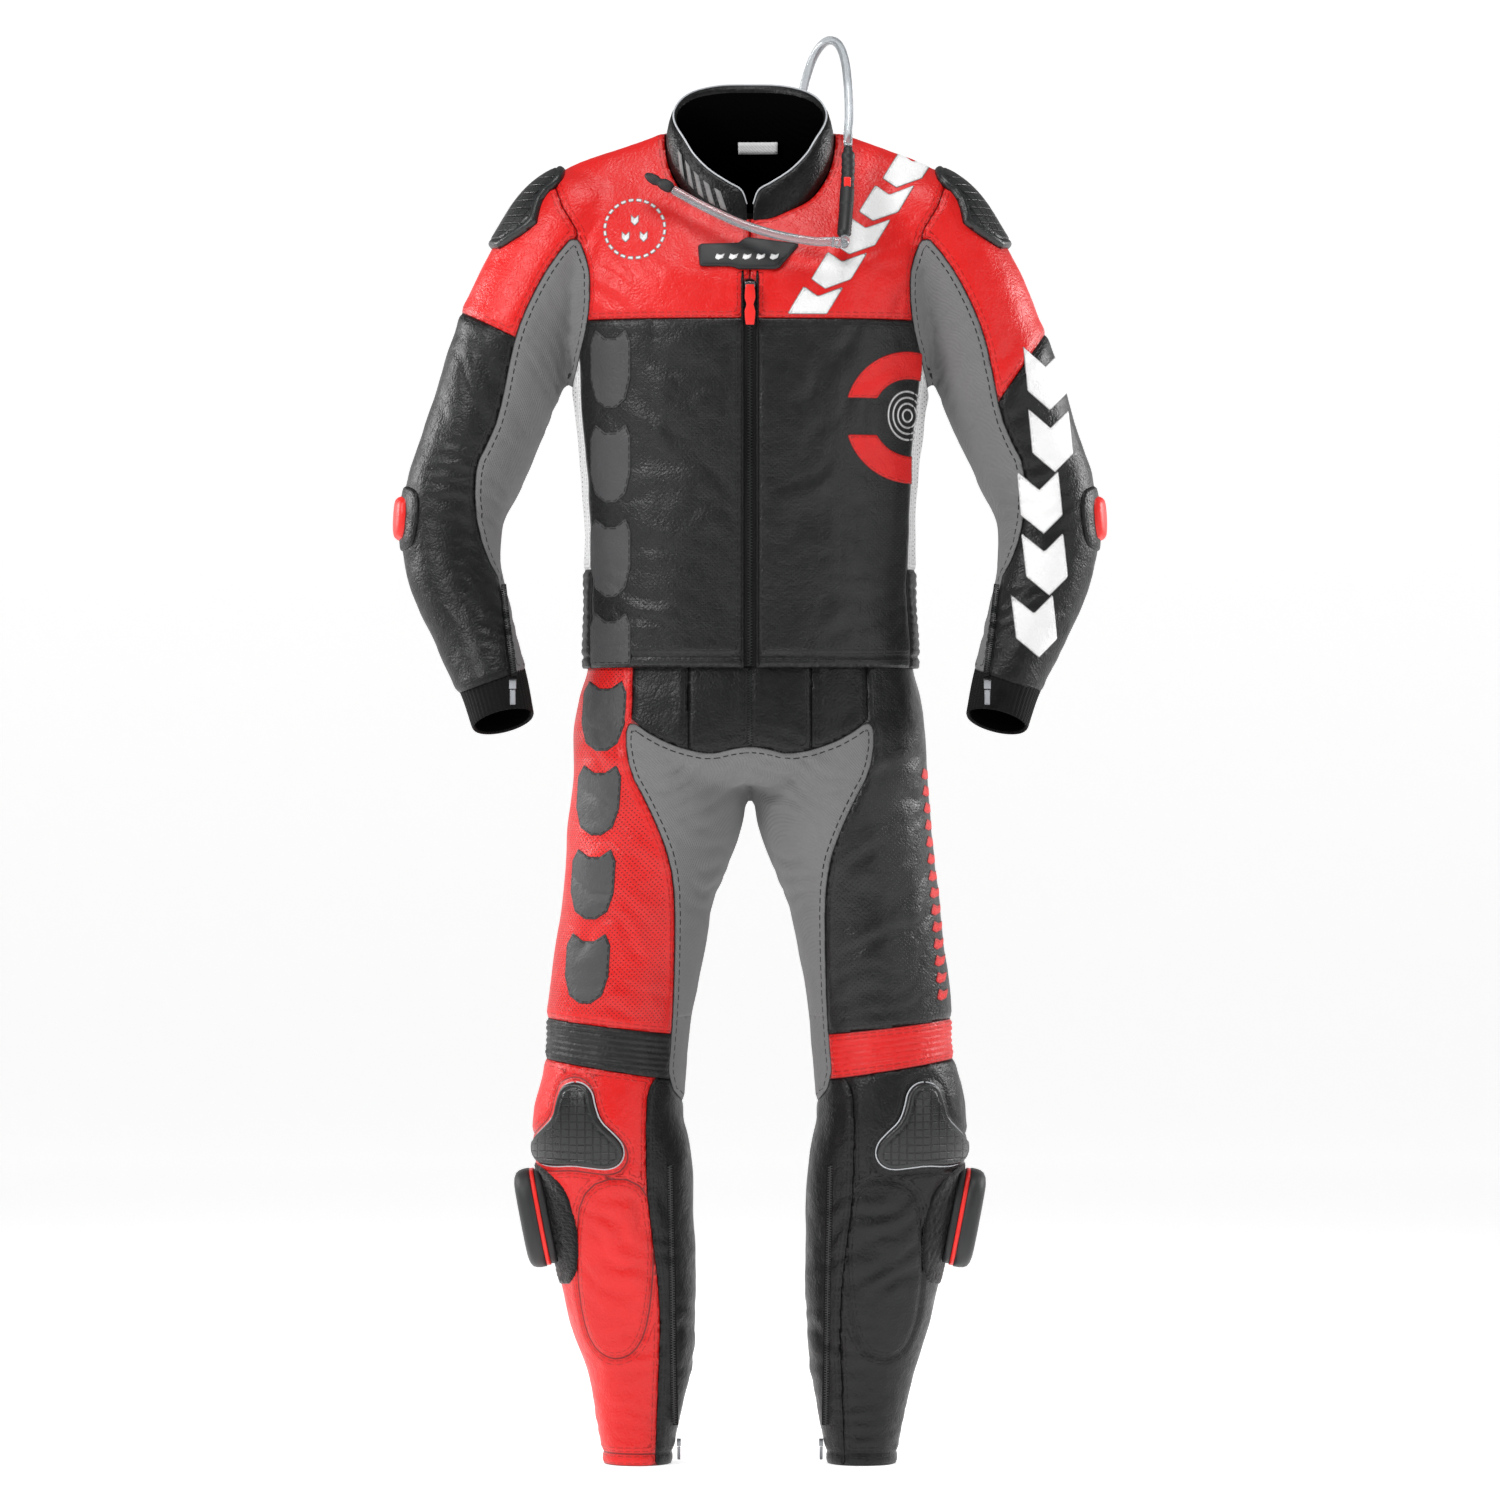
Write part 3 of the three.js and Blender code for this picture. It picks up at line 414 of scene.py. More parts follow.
# ---- Regions: signed distance in mm (inside is negative), its gradient and the way along the border ----
def outline(points, side=-1, plane=(0, 2), rounded=0):
    """Inside a closed outline, drawn on the wearer's right, in the plane of two axes."""
    a = outline_round(np.array(points, float), rounded)
    if side > 0 and plane[0] == 0:
        a = a * (-1, 1)
    b = np.roll(a, -1, 0)

    def region(p):
        q = p[:, plane]
        best, run = np.full(len(q), 1e9), np.zeros(len(q))
        way = np.zeros((len(q), 2))
        inside = np.zeros(len(q), bool)
        start = 0.0
        for u, v in zip(a, b):
            d = v - u
            long = math.hypot(*d)
            if long < 1e-6:
                continue
            t = np.clip((q - u) @ d / long**2, 0, 1)
            vec = q - u - t[:, None] * d
            dist = np.hypot(vec[:, 0], vec[:, 1])
            near = dist < best
            best[near], run[near], way[near] = dist[near], start + t[near] * long, vec[near]
            start += long
            if u[1] != v[1]:
                crosses = ((u[1] > q[:, 1]) != (v[1] > q[:, 1])) & (q[:, 0] < d[0] * (q[:, 1] - u[1]) / d[1]
                        + u[0])
                inside ^= crosses
        sign = np.where(inside, -1.0, 1.0)
        grad = np.zeros((len(q), 3))
        grad[:, plane[0]], grad[:, plane[1]] = (way * (sign / np.maximum(best, 1e-6))[:, None]).T
        return best * sign, grad, run

    return region


def outline_round(a, times):
    """Cuts an outline's corners, over and over, into a curve."""
    for _ in range(times):
        a = np.vstack([[p * 0.75 + q * 0.25, p * 0.25 + q * 0.75] for p, q in zip(a, np.roll(a, -1, 0))])
    return a


def half(axis, limit, sign):
    """Everything below the limit along an axis (sign 1), or above it (sign -1)."""
    def region(p):
        grad = np.zeros((len(p), 3))
        grad[:, axis] = sign
        return sign * (p[:, axis] - limit), grad, p[:, (axis + 1) % 3] + p[:, 2] * (axis < 2)

    return region


def combine(pick, *regions):
    """One region from several, by which of their distances counts."""
    def region(p):
        got = [r(p) for r in regions]
        values = np.stack([g[0] for g in got])
        which = pick(values, axis=0)
        here = np.arange(len(p))
        return values[which, here], np.stack([g[1] for g in got])[which,
                here], np.stack([g[2] for g in got])[which, here]

    return region


def both(*regions):
    """Inside all of the regions."""
    return combine(np.argmax, *regions)


def either(*regions):
    """Inside any of the regions."""
    return combine(np.argmin, *regions)


def neck_hole(p):
    """Inside the neck opening, seen from above."""
    half, deep, middle = NECK
    x, y = p[:, 0] / half, (p[:, 1] - middle) / deep
    r = np.maximum(np.hypot(x, y), 1e-6)
    grad = np.stack([x / r / half, y / r / deep, 0 * r], 1)
    size = np.linalg.norm(grad, axis=1)
    return (r - 1) / size, grad / size[:, None], np.arctan2(x, -y) * 75


def ring(x, z, middle, width, depth=(1.0, 1.0)):
    """A flat ring, seen from the front."""
    def region(p):
        dx, dz = (p[:, 0] - x) / depth[0], (p[:, 2] - z) / depth[1]
        r = np.maximum(np.hypot(dx, dz), 1e-6)
        grad = np.stack([dx / r, 0 * r, dz / r], 1) * np.sign(r - middle)[:, None]
        return abs(r - middle) - width / 2, grad, np.arctan2(dx, dz) * middle

    return region


def shoulder_limits(side):
    """Where the shoulder cap lies."""
    return both(outline(SHOULDER_CAP, side, rounded=1), outline(SHOULDER_SIDE, plane=(1, 2), rounded=2))


def elbow_limits(side):
    """Where the elbow's base plate lies."""
    return both(outline(ELBOW_BASE, plane=(1, 2), rounded=2), half(0, side * 320, -side))


def knee_limits(side):
    """Where the knee cap lies."""
    return both(outline(KNEE_CAP, side, rounded=1), half(1, 0, 1))


def hook_limits(side):
    """Where the knee slider's hook patch lies."""
    return both(outline(HOOK_PATCH, side, rounded=1), half(1, -70, -1), half(1, 62, 1))


def sew(bm, region, mark=True):
    """Scores the skin along a region's border, and notes how far each point lies from it."""
    level = bm.verts.layers.float.get("level") or bm.verts.layers.float.new("level")
    seam, along = bm.verts.layers.float["seam"], bm.verts.layers.float["run"]
    out = bm.verts.layers.float_vector["out"]
    bm.verts.index_update()
    verts, edges = list(bm.verts), list(bm.edges)
    value, grad, run = region(verts_mm(bm))
    value = np.where(abs(value) < 0.12, 0.0, value)
    if mark:
        normal = np.array([v[out] for v in verts])
        slope = np.sqrt(np.clip(1 - np.einsum("ij,ij->i", grad, normal) ** 2, 0.12, 1))
        far = abs(value) / slope
        for i in np.nonzero(far < 30)[0]:
            if far[i] < verts[i][seam]:
                verts[i][seam], verts[i][along] = far[i], run[i]
    for v, f in zip(verts, value):
        v[level] = f
    pairs = edge_pairs(bm)
    fa, fb = value[pairs[:, 0]], value[pairs[:, 1]]
    percents = {edges[i]: float(fa[i] / (fa[i] - fb[i])) for i in np.nonzero(fa * fb < 0)[0]}
    if percents:
        made = bmesh.ops.bisect_edges(bm, edges=list(percents), cuts=1, edge_percents=percents)
        for v in made["geom_split"]:
            if isinstance(v, bmesh.types.BMVert) and v.is_valid:
                v[level] = 0.0
                if mark:
                    v[seam] = 0.0
        bmesh.ops.connect_verts(bm, verts=[v for v in bm.verts if v[level] == 0.0])
    return level


def cut(bm, region, mark=True):
    """Cuts the skin along a region's border. The part inside comes back as a new mesh, and the rest stays."""
    level = sew(bm, region, mark)
    chosen = [f for f in bm.faces if sum(v[level] for v in f.verts) < 0]
    bm.faces.index_update()
    keep = {f.index for f in chosen}
    inside = bm.copy()
    bmesh.ops.delete(inside, geom=[f for i, f in enumerate(inside.faces) if i not in keep], context="FACES")
    bmesh.ops.delete(bm, geom=chosen, context="FACES")
    return inside


def swatch(bm, low, high):
    """A copy of the part of a skin inside a box, in mm, with its seams forgotten."""
    low, high = place([low])[0], place([high])[0]
    copy = bm.copy()
    gone = [f for f in copy.faces if not all(a <= c <= b for a, c, b in zip(low, f.calc_center_median(),
            high))]
    bmesh.ops.delete(copy, geom=gone, context="FACES")
    seam = copy.verts.layers.float["seam"]
    for v in copy.verts:
        v[seam] = 99
    return copy


def finer(bm, size):
    """Divides the skin's faces down to about a size in mm."""
    cuts = round(cell() / size) - 1
    if cuts > 0:
        bmesh.ops.triangulate(bm, faces=[f for f in bm.faces if len(f.verts) > 4])
        bmesh.ops.subdivide_edges(bm, edges=bm.edges, cuts=cuts, use_grid_fill=True)


def lift(bm, height):
    """Moves each point outward by height(points, distance from the seam), all in mm."""
    seam, out = bm.verts.layers.float["seam"], bm.verts.layers.float_vector["out"]
    verts = list(bm.verts)
    co = verts_mm(bm)
    away = np.array([v[seam] for v in verts])
    rise = height(co, away)
    for v, h in zip(verts, rise):
        v.co += Vector(v[out]).normalized() * (float(h) / 1000)


def sewn(co, away):
    """A seam's valley, with the leather a little proud beside it."""
    valley = -settings().seam_depth * 1000 * np.exp(-((away / 2.4) ** 2))
    return valley + 0.55 * np.exp(-(((away - 8) / 5) ** 2))


def ribs(start, way, gap, depth):
    """Round ribs a gap apart along a way, flat at the piece's edge."""
    way = np.array(way, float) / np.linalg.norm(way)

    def height(co, away):
        phase = np.pi * ((co - start) @ way) / gap
        edge = np.clip(away / 3, 0, 1)
        return edge * depth * (abs(np.sin(phase)) ** 0.6 - 0.35) + sewn(co, away) * 0.7

    return height


# ---- Making pieces ----
def add(tree, kind, links=None, **options):
    """Adds a node with its settings, its values and its links."""
    made = tree.nodes.new(kind)
    for key, value in options.items():
        setattr(made, key, value)
    for socket, value in (links or {}).items():
        if isinstance(value, bpy.types.NodeSocket):
            tree.links.new(value, made.inputs[socket])
        else:
            made.inputs[socket].default_value = value
    return made


def linear(colour):
    """sRGB hex or 0-1 values to linear RGBA."""
    if isinstance(colour, str):
        colour = [int(colour[i:i + 2], 16) / 255 for i in (0, 2, 4)]
    return [c / 12.92 if c <= 0.04045 else ((c + 0.055) / 1.055) ** 2.4 for c in colour] + [1.0]


def start_material(name):
    """A new material with an empty surface, or the one of that name if it is there already."""
    made = bpy.data.materials.get(name)
    if made:
        return made, None, None
    made = bpy.data.materials.new(name)
    made.use_nodes = True
    tree = made.node_tree
    tree.nodes.clear()
    shader = add(tree, "ShaderNodeBsdfPrincipled")
    add(tree, "ShaderNodeOutputMaterial", {"Surface": shader.outputs[0]})
    return made, tree, shader


def leather(name, colour, thread, holes=False, roughness=0.38, sheen=0.42, rows=(2.6, 6.2)):
    """Cowhide, split and pigmented: a soft gloss over a pebbled grain, with stitches by each seam and painted
    shade in each seam's valley.
    """
    made, tree, shader = start_material(name)
    if not tree:
        return made
    s = settings()
    where = add(tree, "ShaderNodeTexCoord").outputs["Object"]
    # Grain is 1 mm on the hide; drawn at 2 mm so that it shows.
    grain = add(tree, "ShaderNodeTexVoronoi", {"Vector": where, "Scale": 1 / 0.0021, "Randomness": 1.0},
                feature="SMOOTH_F1")
    creases = add(tree, "ShaderNodeTexNoise", {"Vector": where, "Scale": 1 / 0.011, "Detail": 5.0,
                                               "Roughness": 0.6})
    tone = add(tree, "ShaderNodeTexNoise", {"Vector": where, "Scale": 1 / 0.09, "Detail": 3.0})
    seam = add(tree, "ShaderNodeAttribute", attribute_name="seam").outputs["Fac"]
    run = add(tree, "ShaderNodeAttribute", attribute_name="run").outputs["Fac"]
    dash = add(tree, "ShaderNodeMath", {0: run, 1: 1000 * s.stitch}, operation="PINGPONG")
    dash = add(tree, "ShaderNodeMapRange", {"Value": dash.outputs[0], "From Min": 1.0, "From Max": 1.6},
               interpolation_type="SMOOTHSTEP")
    drawn = []
    for offset in rows:
        near = add(tree, "ShaderNodeMath", {0: seam, 1: offset}, operation="SUBTRACT")
        near = add(tree, "ShaderNodeMath", {0: near.outputs[0]}, operation="ABSOLUTE")
        drawn.append(add(tree, "ShaderNodeMapRange", {"Value": near.outputs[0], "From Min": 0.75,
                                                      "From Max": 0.35}, interpolation_type="SMOOTHSTEP"))
    row = add(tree, "ShaderNodeMath", {0: drawn[0].outputs[0], 1: drawn[-1].outputs[0]}, operation="MAXIMUM")
    stitch = add(tree, "ShaderNodeMath", {0: row.outputs[0], 1: dash.outputs[0]}, operation="MULTIPLY")
    # Painted shade: the leather darkens to a quarter of its colour in the seam's valley, where shade falls.
    seam_shade = add(tree, "ShaderNodeMapRange", {"Value": seam, "From Min": 0.2, "From Max": 1.5},
                 interpolation_type="SMOOTHSTEP")
    base = linear(colour)
    dark = [c * 0.80 for c in base[:3]] + [1]
    light = [min(1, c * 1.12 + 0.003) for c in base[:3]] + [1]
    body = add(tree, "ShaderNodeMix", {"Factor": tone.outputs[0], 6: dark, 7: light}, data_type="RGBA")
    threaded = add(tree, "ShaderNodeMix", {"Factor": stitch.outputs[0], 6: body.outputs[2],
                                           7: linear(thread)}, data_type="RGBA")
    closed = add(tree, "ShaderNodeMix", {"Factor": seam_shade.outputs[0], 6: [c * 0.25 for c in base[:3]] + [1],
                                         7: threaded.outputs[2]}, data_type="RGBA")
    colour_out, height = closed.outputs[2], add(tree, "ShaderNodeMath", {0: stitch.outputs[0], 1: 0.30},
                                                operation="MULTIPLY").outputs[0]
    pebble = add(tree, "ShaderNodeMath", {0: grain.outputs["Distance"], 1: 0.35}, operation="MULTIPLY")
    crease = add(tree, "ShaderNodeMath", {0: creases.outputs[0], 1: 1.1}, operation="MULTIPLY")
    total = add(tree, "ShaderNodeMath", {0: pebble.outputs[0], 1: crease.outputs[0]}, operation="ADD")
    height = add(tree, "ShaderNodeMath", {0: total.outputs[0], 1: height}, operation="ADD").outputs[0]
    if holes:
        cloth = add(tree, "ShaderNodeAttribute", attribute_name="cloth").outputs["Vector"]
        cell = add(tree, "ShaderNodeVectorMath", {0: cloth, "Scale": 1 / (1000 * s.hole_pitch)},
                   operation="SCALE")
        lengths = []
        for shift in (0.0, 0.5):
            moved = add(tree, "ShaderNodeVectorMath", {0: cell.outputs[0], 1: (shift, shift, 0)},
                        operation="ADD")
            part = add(tree, "ShaderNodeVectorMath", {0: moved.outputs[0]}, operation="FRACTION")
            centred = add(tree, "ShaderNodeVectorMath", {0: part.outputs[0], 1: (0.5, 0.5, 0)},
                          operation="SUBTRACT")
            flat = add(tree, "ShaderNodeVectorMath", {0: centred.outputs[0], 1: (1, 1, 0)},
                       operation="MULTIPLY")
            lengths.append(add(tree, "ShaderNodeVectorMath", {0: flat.outputs[0]},
                               operation="LENGTH").outputs["Value"])
        nearest = add(tree, "ShaderNodeMath", {0: lengths[0], 1: lengths[1]}, operation="MINIMUM")
        hole = add(tree, "ShaderNodeMapRange", {"Value": nearest.outputs[0], "From Min": 0.15,
                                                "From Max": 0.10}, interpolation_type="SMOOTHSTEP")
        clear = add(tree, "ShaderNodeMapRange", {"Value": seam, "From Min": 9.0, "From Max": 11.0})
        hole = add(tree, "ShaderNodeMath", {0: hole.outputs[0], 1: clear.outputs[0]}, operation="MULTIPLY")
        # Each hole is painted dark: partly the dark lining seen through it, partly painted shade inside the
        # hole.
        holes_shade_and_lining = add(tree, "ShaderNodeMix", {"Factor": hole.outputs[0], 6: colour_out,
                                              7: [c * 0.12 for c in base[:3]] + [1]}, data_type="RGBA")
        colour_out = holes_shade_and_lining.outputs[2]
        drop = add(tree, "ShaderNodeMath", {0: hole.outputs[0], 1: -0.8}, operation="MULTIPLY")
        height = add(tree, "ShaderNodeMath", {0: height, 1: drop.outputs[0]}, operation="ADD").outputs[0]
    rough = add(tree, "ShaderNodeMapRange", {"Value": creases.outputs[0], "From Min": 0.3, "From Max": 0.7,
                                             "To Min": roughness - 0.06, "To Max": roughness + 0.10})
    bump = add(tree, "ShaderNodeBump", {"Height": height, "Strength": 0.8, "Distance": 0.0014})
    tree.links.new(colour_out, shader.inputs["Base Color"])
    tree.links.new(rough.outputs[0], shader.inputs["Roughness"])
    tree.links.new(bump.outputs[0], shader.inputs["Normal"])
    shader.inputs["IOR"].default_value = 1.5
    shader.inputs["Specular IOR Level"].default_value = sheen
    return made


def fabric(name, colour, thread, pitch=0.0016, rough=0.88, stitched=True, fuzz=0.15, gloss=0.2):
    """Woven or knitted yarn: fine ribs at the yarn's spacing, matte, with a soft edge sheen."""
    made, tree, shader = start_material(name)
    if not tree:
        return made
    where = add(tree, "ShaderNodeTexCoord").outputs["Object"]
    base = linear(colour)
    twill = add(tree, "ShaderNodeTexWave", {"Vector": where, "Scale": 0.314 / pitch, "Distortion": 0.6,
                                            "Detail": 1.0}, bands_direction="DIAGONAL")
    yarn = add(tree, "ShaderNodeTexNoise", {"Vector": where, "Scale": 1 / 0.0022, "Detail": 3.0})
    tone = add(tree, "ShaderNodeTexNoise", {"Vector": where, "Scale": 1 / 0.05, "Detail": 2.0})
    height = add(tree, "ShaderNodeMath", {0: twill.outputs["Fac"], 1: yarn.outputs[0]},
                 operation="ADD").outputs[0]
    body = add(tree, "ShaderNodeMix", {"Factor": tone.outputs[0], 6: [c * 0.86 for c in base[:3]] + [1],
                                       7: [min(1, c * 1.1) for c in base[:3]] + [1]}, data_type="RGBA")
    fleck = add(tree, "ShaderNodeMix", {"Factor": yarn.outputs[0], 6: [c * 0.82 for c in base[:3]] + [1],
                                        7: body.outputs[2]}, data_type="RGBA")
    colour_out = fleck.outputs[2]
    if stitched:
        seam = add(tree, "ShaderNodeAttribute", attribute_name="seam").outputs["Fac"]
        run = add(tree, "ShaderNodeAttribute", attribute_name="run").outputs["Fac"]
        dash = add(tree, "ShaderNodeMath", {0: run, 1: 1000 * settings().stitch}, operation="PINGPONG")
        dash = add(tree, "ShaderNodeMapRange", {"Value": dash.outputs[0], "From Min": 1.2, "From Max": 1.8},
                   interpolation_type="SMOOTHSTEP")
        near = add(tree, "ShaderNodeMath", {0: seam, 1: 6.0}, operation="SUBTRACT")
        near = add(tree, "ShaderNodeMath", {0: near.outputs[0]}, operation="ABSOLUTE")
        line = add(tree, "ShaderNodeMapRange", {"Value": near.outputs[0], "From Min": 0.8, "From Max": 0.4},
                   interpolation_type="SMOOTHSTEP")
        stitch = add(tree, "ShaderNodeMath", {0: line.outputs[0], 1: dash.outputs[0]}, operation="MULTIPLY")
        threaded = add(tree, "ShaderNodeMix", {"Factor": stitch.outputs[0], 6: colour_out, 7: linear(thread)},
                       data_type="RGBA")
        # Painted shade: a near-black line down the seam's valley, where shade falls.
        seam_shade = add(tree, "ShaderNodeMapRange", {"Value": seam, "From Min": 0.2, "From Max": 1.6},
                     interpolation_type="SMOOTHSTEP")
        closed = add(tree, "ShaderNodeMix", {"Factor": seam_shade.outputs[0], 6: linear("141414"),
                                             7: threaded.outputs[2]}, data_type="RGBA")
        colour_out = closed.outputs[2]
    bump = add(tree, "ShaderNodeBump", {"Height": height, "Strength": 0.5, "Distance": 0.0006})
    tree.links.new(colour_out, shader.inputs["Base Color"])
    tree.links.new(bump.outputs[0], shader.inputs["Normal"])
    shader.inputs["Roughness"].default_value = rough
    shader.inputs["Specular IOR Level"].default_value = gloss
    shader.inputs["Sheen Weight"].default_value = fuzz
    return made


def moulded(name, colour, roughness=0.42, metallic=0.0, grit=0.0012, depth=0.35, clear=0.0, tile=0.0):
    """Moulded or machined parts: a fine even texture, cut into square tiles where a tile size is given, with
    painted shade in the tile grooves.
    """
    made, tree, shader = start_material(name)
    if not tree:
        return made
    where = add(tree, "ShaderNodeTexCoord").outputs["Object"]
    base = linear(colour)
    texture = add(tree, "ShaderNodeTexNoise", {"Vector": where, "Scale": 1 / grit, "Detail": 2.0})
    wear = add(tree, "ShaderNodeTexNoise", {"Vector": where, "Scale": 1 / 0.03, "Detail": 4.0})
    body = add(tree, "ShaderNodeMix", {"Factor": wear.outputs[0], 6: [c * 0.8 for c in base[:3]] + [1],
                                       7: [min(1, c * 1.25) for c in base[:3]] + [1]}, data_type="RGBA")
    colour_out, height = body.outputs[2], texture.outputs[0]
    if tile:
        cloth = add(tree, "ShaderNodeAttribute", attribute_name="cloth").outputs["Vector"]
        axes = add(tree, "ShaderNodeSeparateXYZ", {"Vector": cloth})
        folded = [add(tree, "ShaderNodeMath", {0: axes.outputs[k], 1: tile / 2},
                      operation="PINGPONG").outputs[0] for k in (0, 1)]
        nearest = add(tree, "ShaderNodeMath", {0: folded[0], 1: folded[1]}, operation="MINIMUM")
        line = add(tree, "ShaderNodeMapRange", {"Value": nearest.outputs[0], "From Min": 0.95,
                                                "From Max": 0.35}, interpolation_type="SMOOTHSTEP")
        field = add(tree, "ShaderNodeAttribute", attribute_name="field").outputs["Fac"]
        groove_dip_and_shade = add(tree, "ShaderNodeMath", {0: line.outputs[0], 1: field}, operation="MULTIPLY")
        # Painted shade: the tile grooves are coloured near-black, where shade falls in them.
        colour_out = add(tree, "ShaderNodeMix", {"Factor": groove_dip_and_shade.outputs[0], 6: colour_out,
                                                 7: linear("020202")}, data_type="RGBA").outputs[2]
        drop = add(tree, "ShaderNodeMath", {0: groove_dip_and_shade.outputs[0], 1: -3.0}, operation="MULTIPLY")
        height = add(tree, "ShaderNodeMath", {0: height, 1: drop.outputs[0]}, operation="ADD").outputs[0]
    rough = add(tree, "ShaderNodeMapRange", {"Value": wear.outputs[0], "From Min": 0.3, "From Max": 0.7,
                                             "To Min": roughness - 0.05, "To Max": roughness + 0.08})
    bump = add(tree, "ShaderNodeBump", {"Height": height, "Strength": depth, "Distance": 0.0004})
    tree.links.new(colour_out, shader.inputs["Base Color"])
    tree.links.new(rough.outputs[0], shader.inputs["Roughness"])
    tree.links.new(bump.outputs[0], shader.inputs["Normal"])
    shader.inputs["Metallic"].default_value = metallic
    if clear:
        shader.inputs["Transmission Weight"].default_value = clear
        shader.inputs["IOR"].default_value = 1.53
    return made


def palette():
    """Every material, by the short name that the pieces use."""
    s = settings()
    return {
        # Split cowhide, dyed and pigmented: an even colour, with a soft gloss that breaks up on the grain.
        "red": leather("Cowhide red", s.red, "b81410"),
        "black": leather("Cowhide black", s.black, "0c0c0c", sheen=0.30),
        # The same hide punched with 1 mm holes, each painted dark for the lining seen through it and the
        # shade inside it: it darkens a little and lets the wind in.
        "red_holes": leather("Cowhide red perforated", s.red, "b81410", holes=True),
        "black_holes": leather("Cowhide black perforated", s.black, "0c0c0c", holes=True),
        "white": leather("Cowhide white perforated", s.white, "c8c8c8", holes=True),
        # Thin bonded leather, glued and stitched down: flatter and more matt than the hide.
        "patch_white": leather("Bonded leather white", s.white, "e2e2e2", roughness=0.5, rows=(2.0,)),
        "patch_grey": leather("Bonded leather grey", s.badge_grey, "1a1a1a", roughness=0.5, rows=(2.0,)),
        "patch_red": leather("Bonded leather red", s.red, "b81410", roughness=0.5, rows=(2.4,)),
        # Hide sewn over elastic: the gloss runs along the pleats.
        "rib_black": leather("Pleated leather black", s.black, "0c0c0c", roughness=0.45),
        "rib_red": leather("Pleated leather red", s.red, "b81410", roughness=0.45),
        # Aramid and nylon stretch weave: a matt twill, with a dark stitch beside its seams.
        "grey": fabric("Stretch nylon grey", s.grey, "181818"),
        # Rib knit and mesh: nearly no gloss, so they read as the darkest parts.
        "knit": fabric("Knit cotton black", "0d0d0d", "0d0d0d", pitch=0.002, stitched=False, fuzz=0.03),
        "lining": fabric("Mesh lining black", "060606", "060606", pitch=0.003, stitched=False, fuzz=0.0,
                         gloss=0.0),
        # Loop pile: rough and light-swallowing, with a soft edge sheen.
        "pile": fabric("Hook and loop pile black", "080808", "080808", pitch=0.0012, rough=1.0,
                       stitched=False, fuzz=0.4),
        # Woven polyester ribbon: fine cross ribs, a dull shine.
        "tape": fabric("Woven zip tape black", "101010", "101010", pitch=0.0015, stitched=False),
        "tape_white": fabric("Woven label white", "dcdcdc", "dcdcdc", pitch=0.0015, stitched=False),
        # Injection-moulded TPU: smooth rim with a clear highlight; the tiled one is cut by grooves painted
        # near-black as shade.
        "armour": moulded("Moulded TPU black", "1c1d1e", roughness=0.34),
        "tiled": moulded("Moulded TPU black tiled", "1c1d1e", roughness=0.30, depth=0.7, tile=7.4),
        # Moulded nylon: a satin tool finish.
        "slider": moulded("Moulded nylon black", "222324", roughness=0.5),
        "slider_red": moulded("Moulded nylon red", "e32019", roughness=0.42),
        "teeth": moulded("Moulded zip teeth black", "1c1d1e", roughness=0.3),
        # Silicone rubber: matt, faintly uneven.
        "rubber": moulded("Silicone rubber black", "17181a", roughness=0.55, grit=0.003, depth=0.5),
        # Pale piping: a thin pale line round an edge, its pale colour a painted edge highlight.
        "rim": moulded("Pale piping with painted edge highlight", "b9bcc0", roughness=0.35),
        # Die-cast zinc under nickel: a soft-edged mirror.
        "metal": moulded("Nickel-plated zinc", "8a8c90", roughness=0.30, metallic=1.0),
        # Extruded PVC: clear, with bright lines down its sides.
        "clear": moulded("Clear PVC tube", "c4c9cd", roughness=0.06, clear=0.72, depth=0.05),
    }


def bake(ob):
    """Applies the piece's modifiers, so that what is shown is its own mesh."""
    bpy.context.view_layer.update()
    mesh = bpy.data.meshes.new_from_object(ob.evaluated_get(bpy.context.evaluated_depsgraph_get()))
    ob.modifiers.clear()
    ob.data = mesh
    return ob


def piece(name, bm, material, nodes=(), body="suit", thick=0.0, fold=None, flat=False):
    """Turns a mesh into a named piece that rides on a body, or folds over a joint, and stands for nodes."""
    if not bm.faces:
        raise RuntimeError(f"{name} has no surface")
    mesh = bpy.data.meshes.new(name)
    level = bm.verts.layers.float.get("level")
    if level:
        bm.verts.layers.float.remove(level)
    bm.to_mesh(mesh)
    bm.free()
    if not flat:
        mesh.shade_smooth()
    ob = bpy.data.objects.new(name, mesh)
    bpy.context.scene.collection.objects.link(ob)
    mesh.materials.append(material)
    if thick:
        wall = ob.modifiers.new("wall", "SOLIDIFY")
        wall.thickness, wall.offset = thick, -1
        bake(ob)
    if nodes:
        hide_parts(*nodes)
    if fold:
        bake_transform(ob, *fold)
    else:
        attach(ob, body)
    return ob


def cloth_uv(bm, centre=None, axes=(0, 2)):
    """Writes where each point lies on the flat cut, in mm: round the limb and up it, or across and up."""
    layer = bm.verts.layers.float_vector.get("cloth") or bm.verts.layers.float_vector.new("cloth")
    co = verts_mm(bm)
    if centre is None:
        u = co[:, axes[0]]
    else:
        rows = smooth(centre[0], 6)
        order = np.argsort(rows[:, 2])
        cx, cy = (np.interp(co[:, 2], rows[order, 2], rows[order, k]) for k in (0, 1))
        u = np.arctan2(co[:, 0] - centre[1] * -cx, -(co[:, 1] - cy)) * 72
    for v, a, z in zip(bm.verts, u, co[:, 2]):
        v[layer] = (a, z, 0)


def elbow_fold(word, side):
    """The two bodies that a sleeve joins, and where it starts and stops bending."""
    a, b = place([(side * 290, 14, ELBOW[0]), (side * 298, 10, ELBOW[1])])
    return ("suit", f"forearm_{word}", tuple(a), tuple(b))


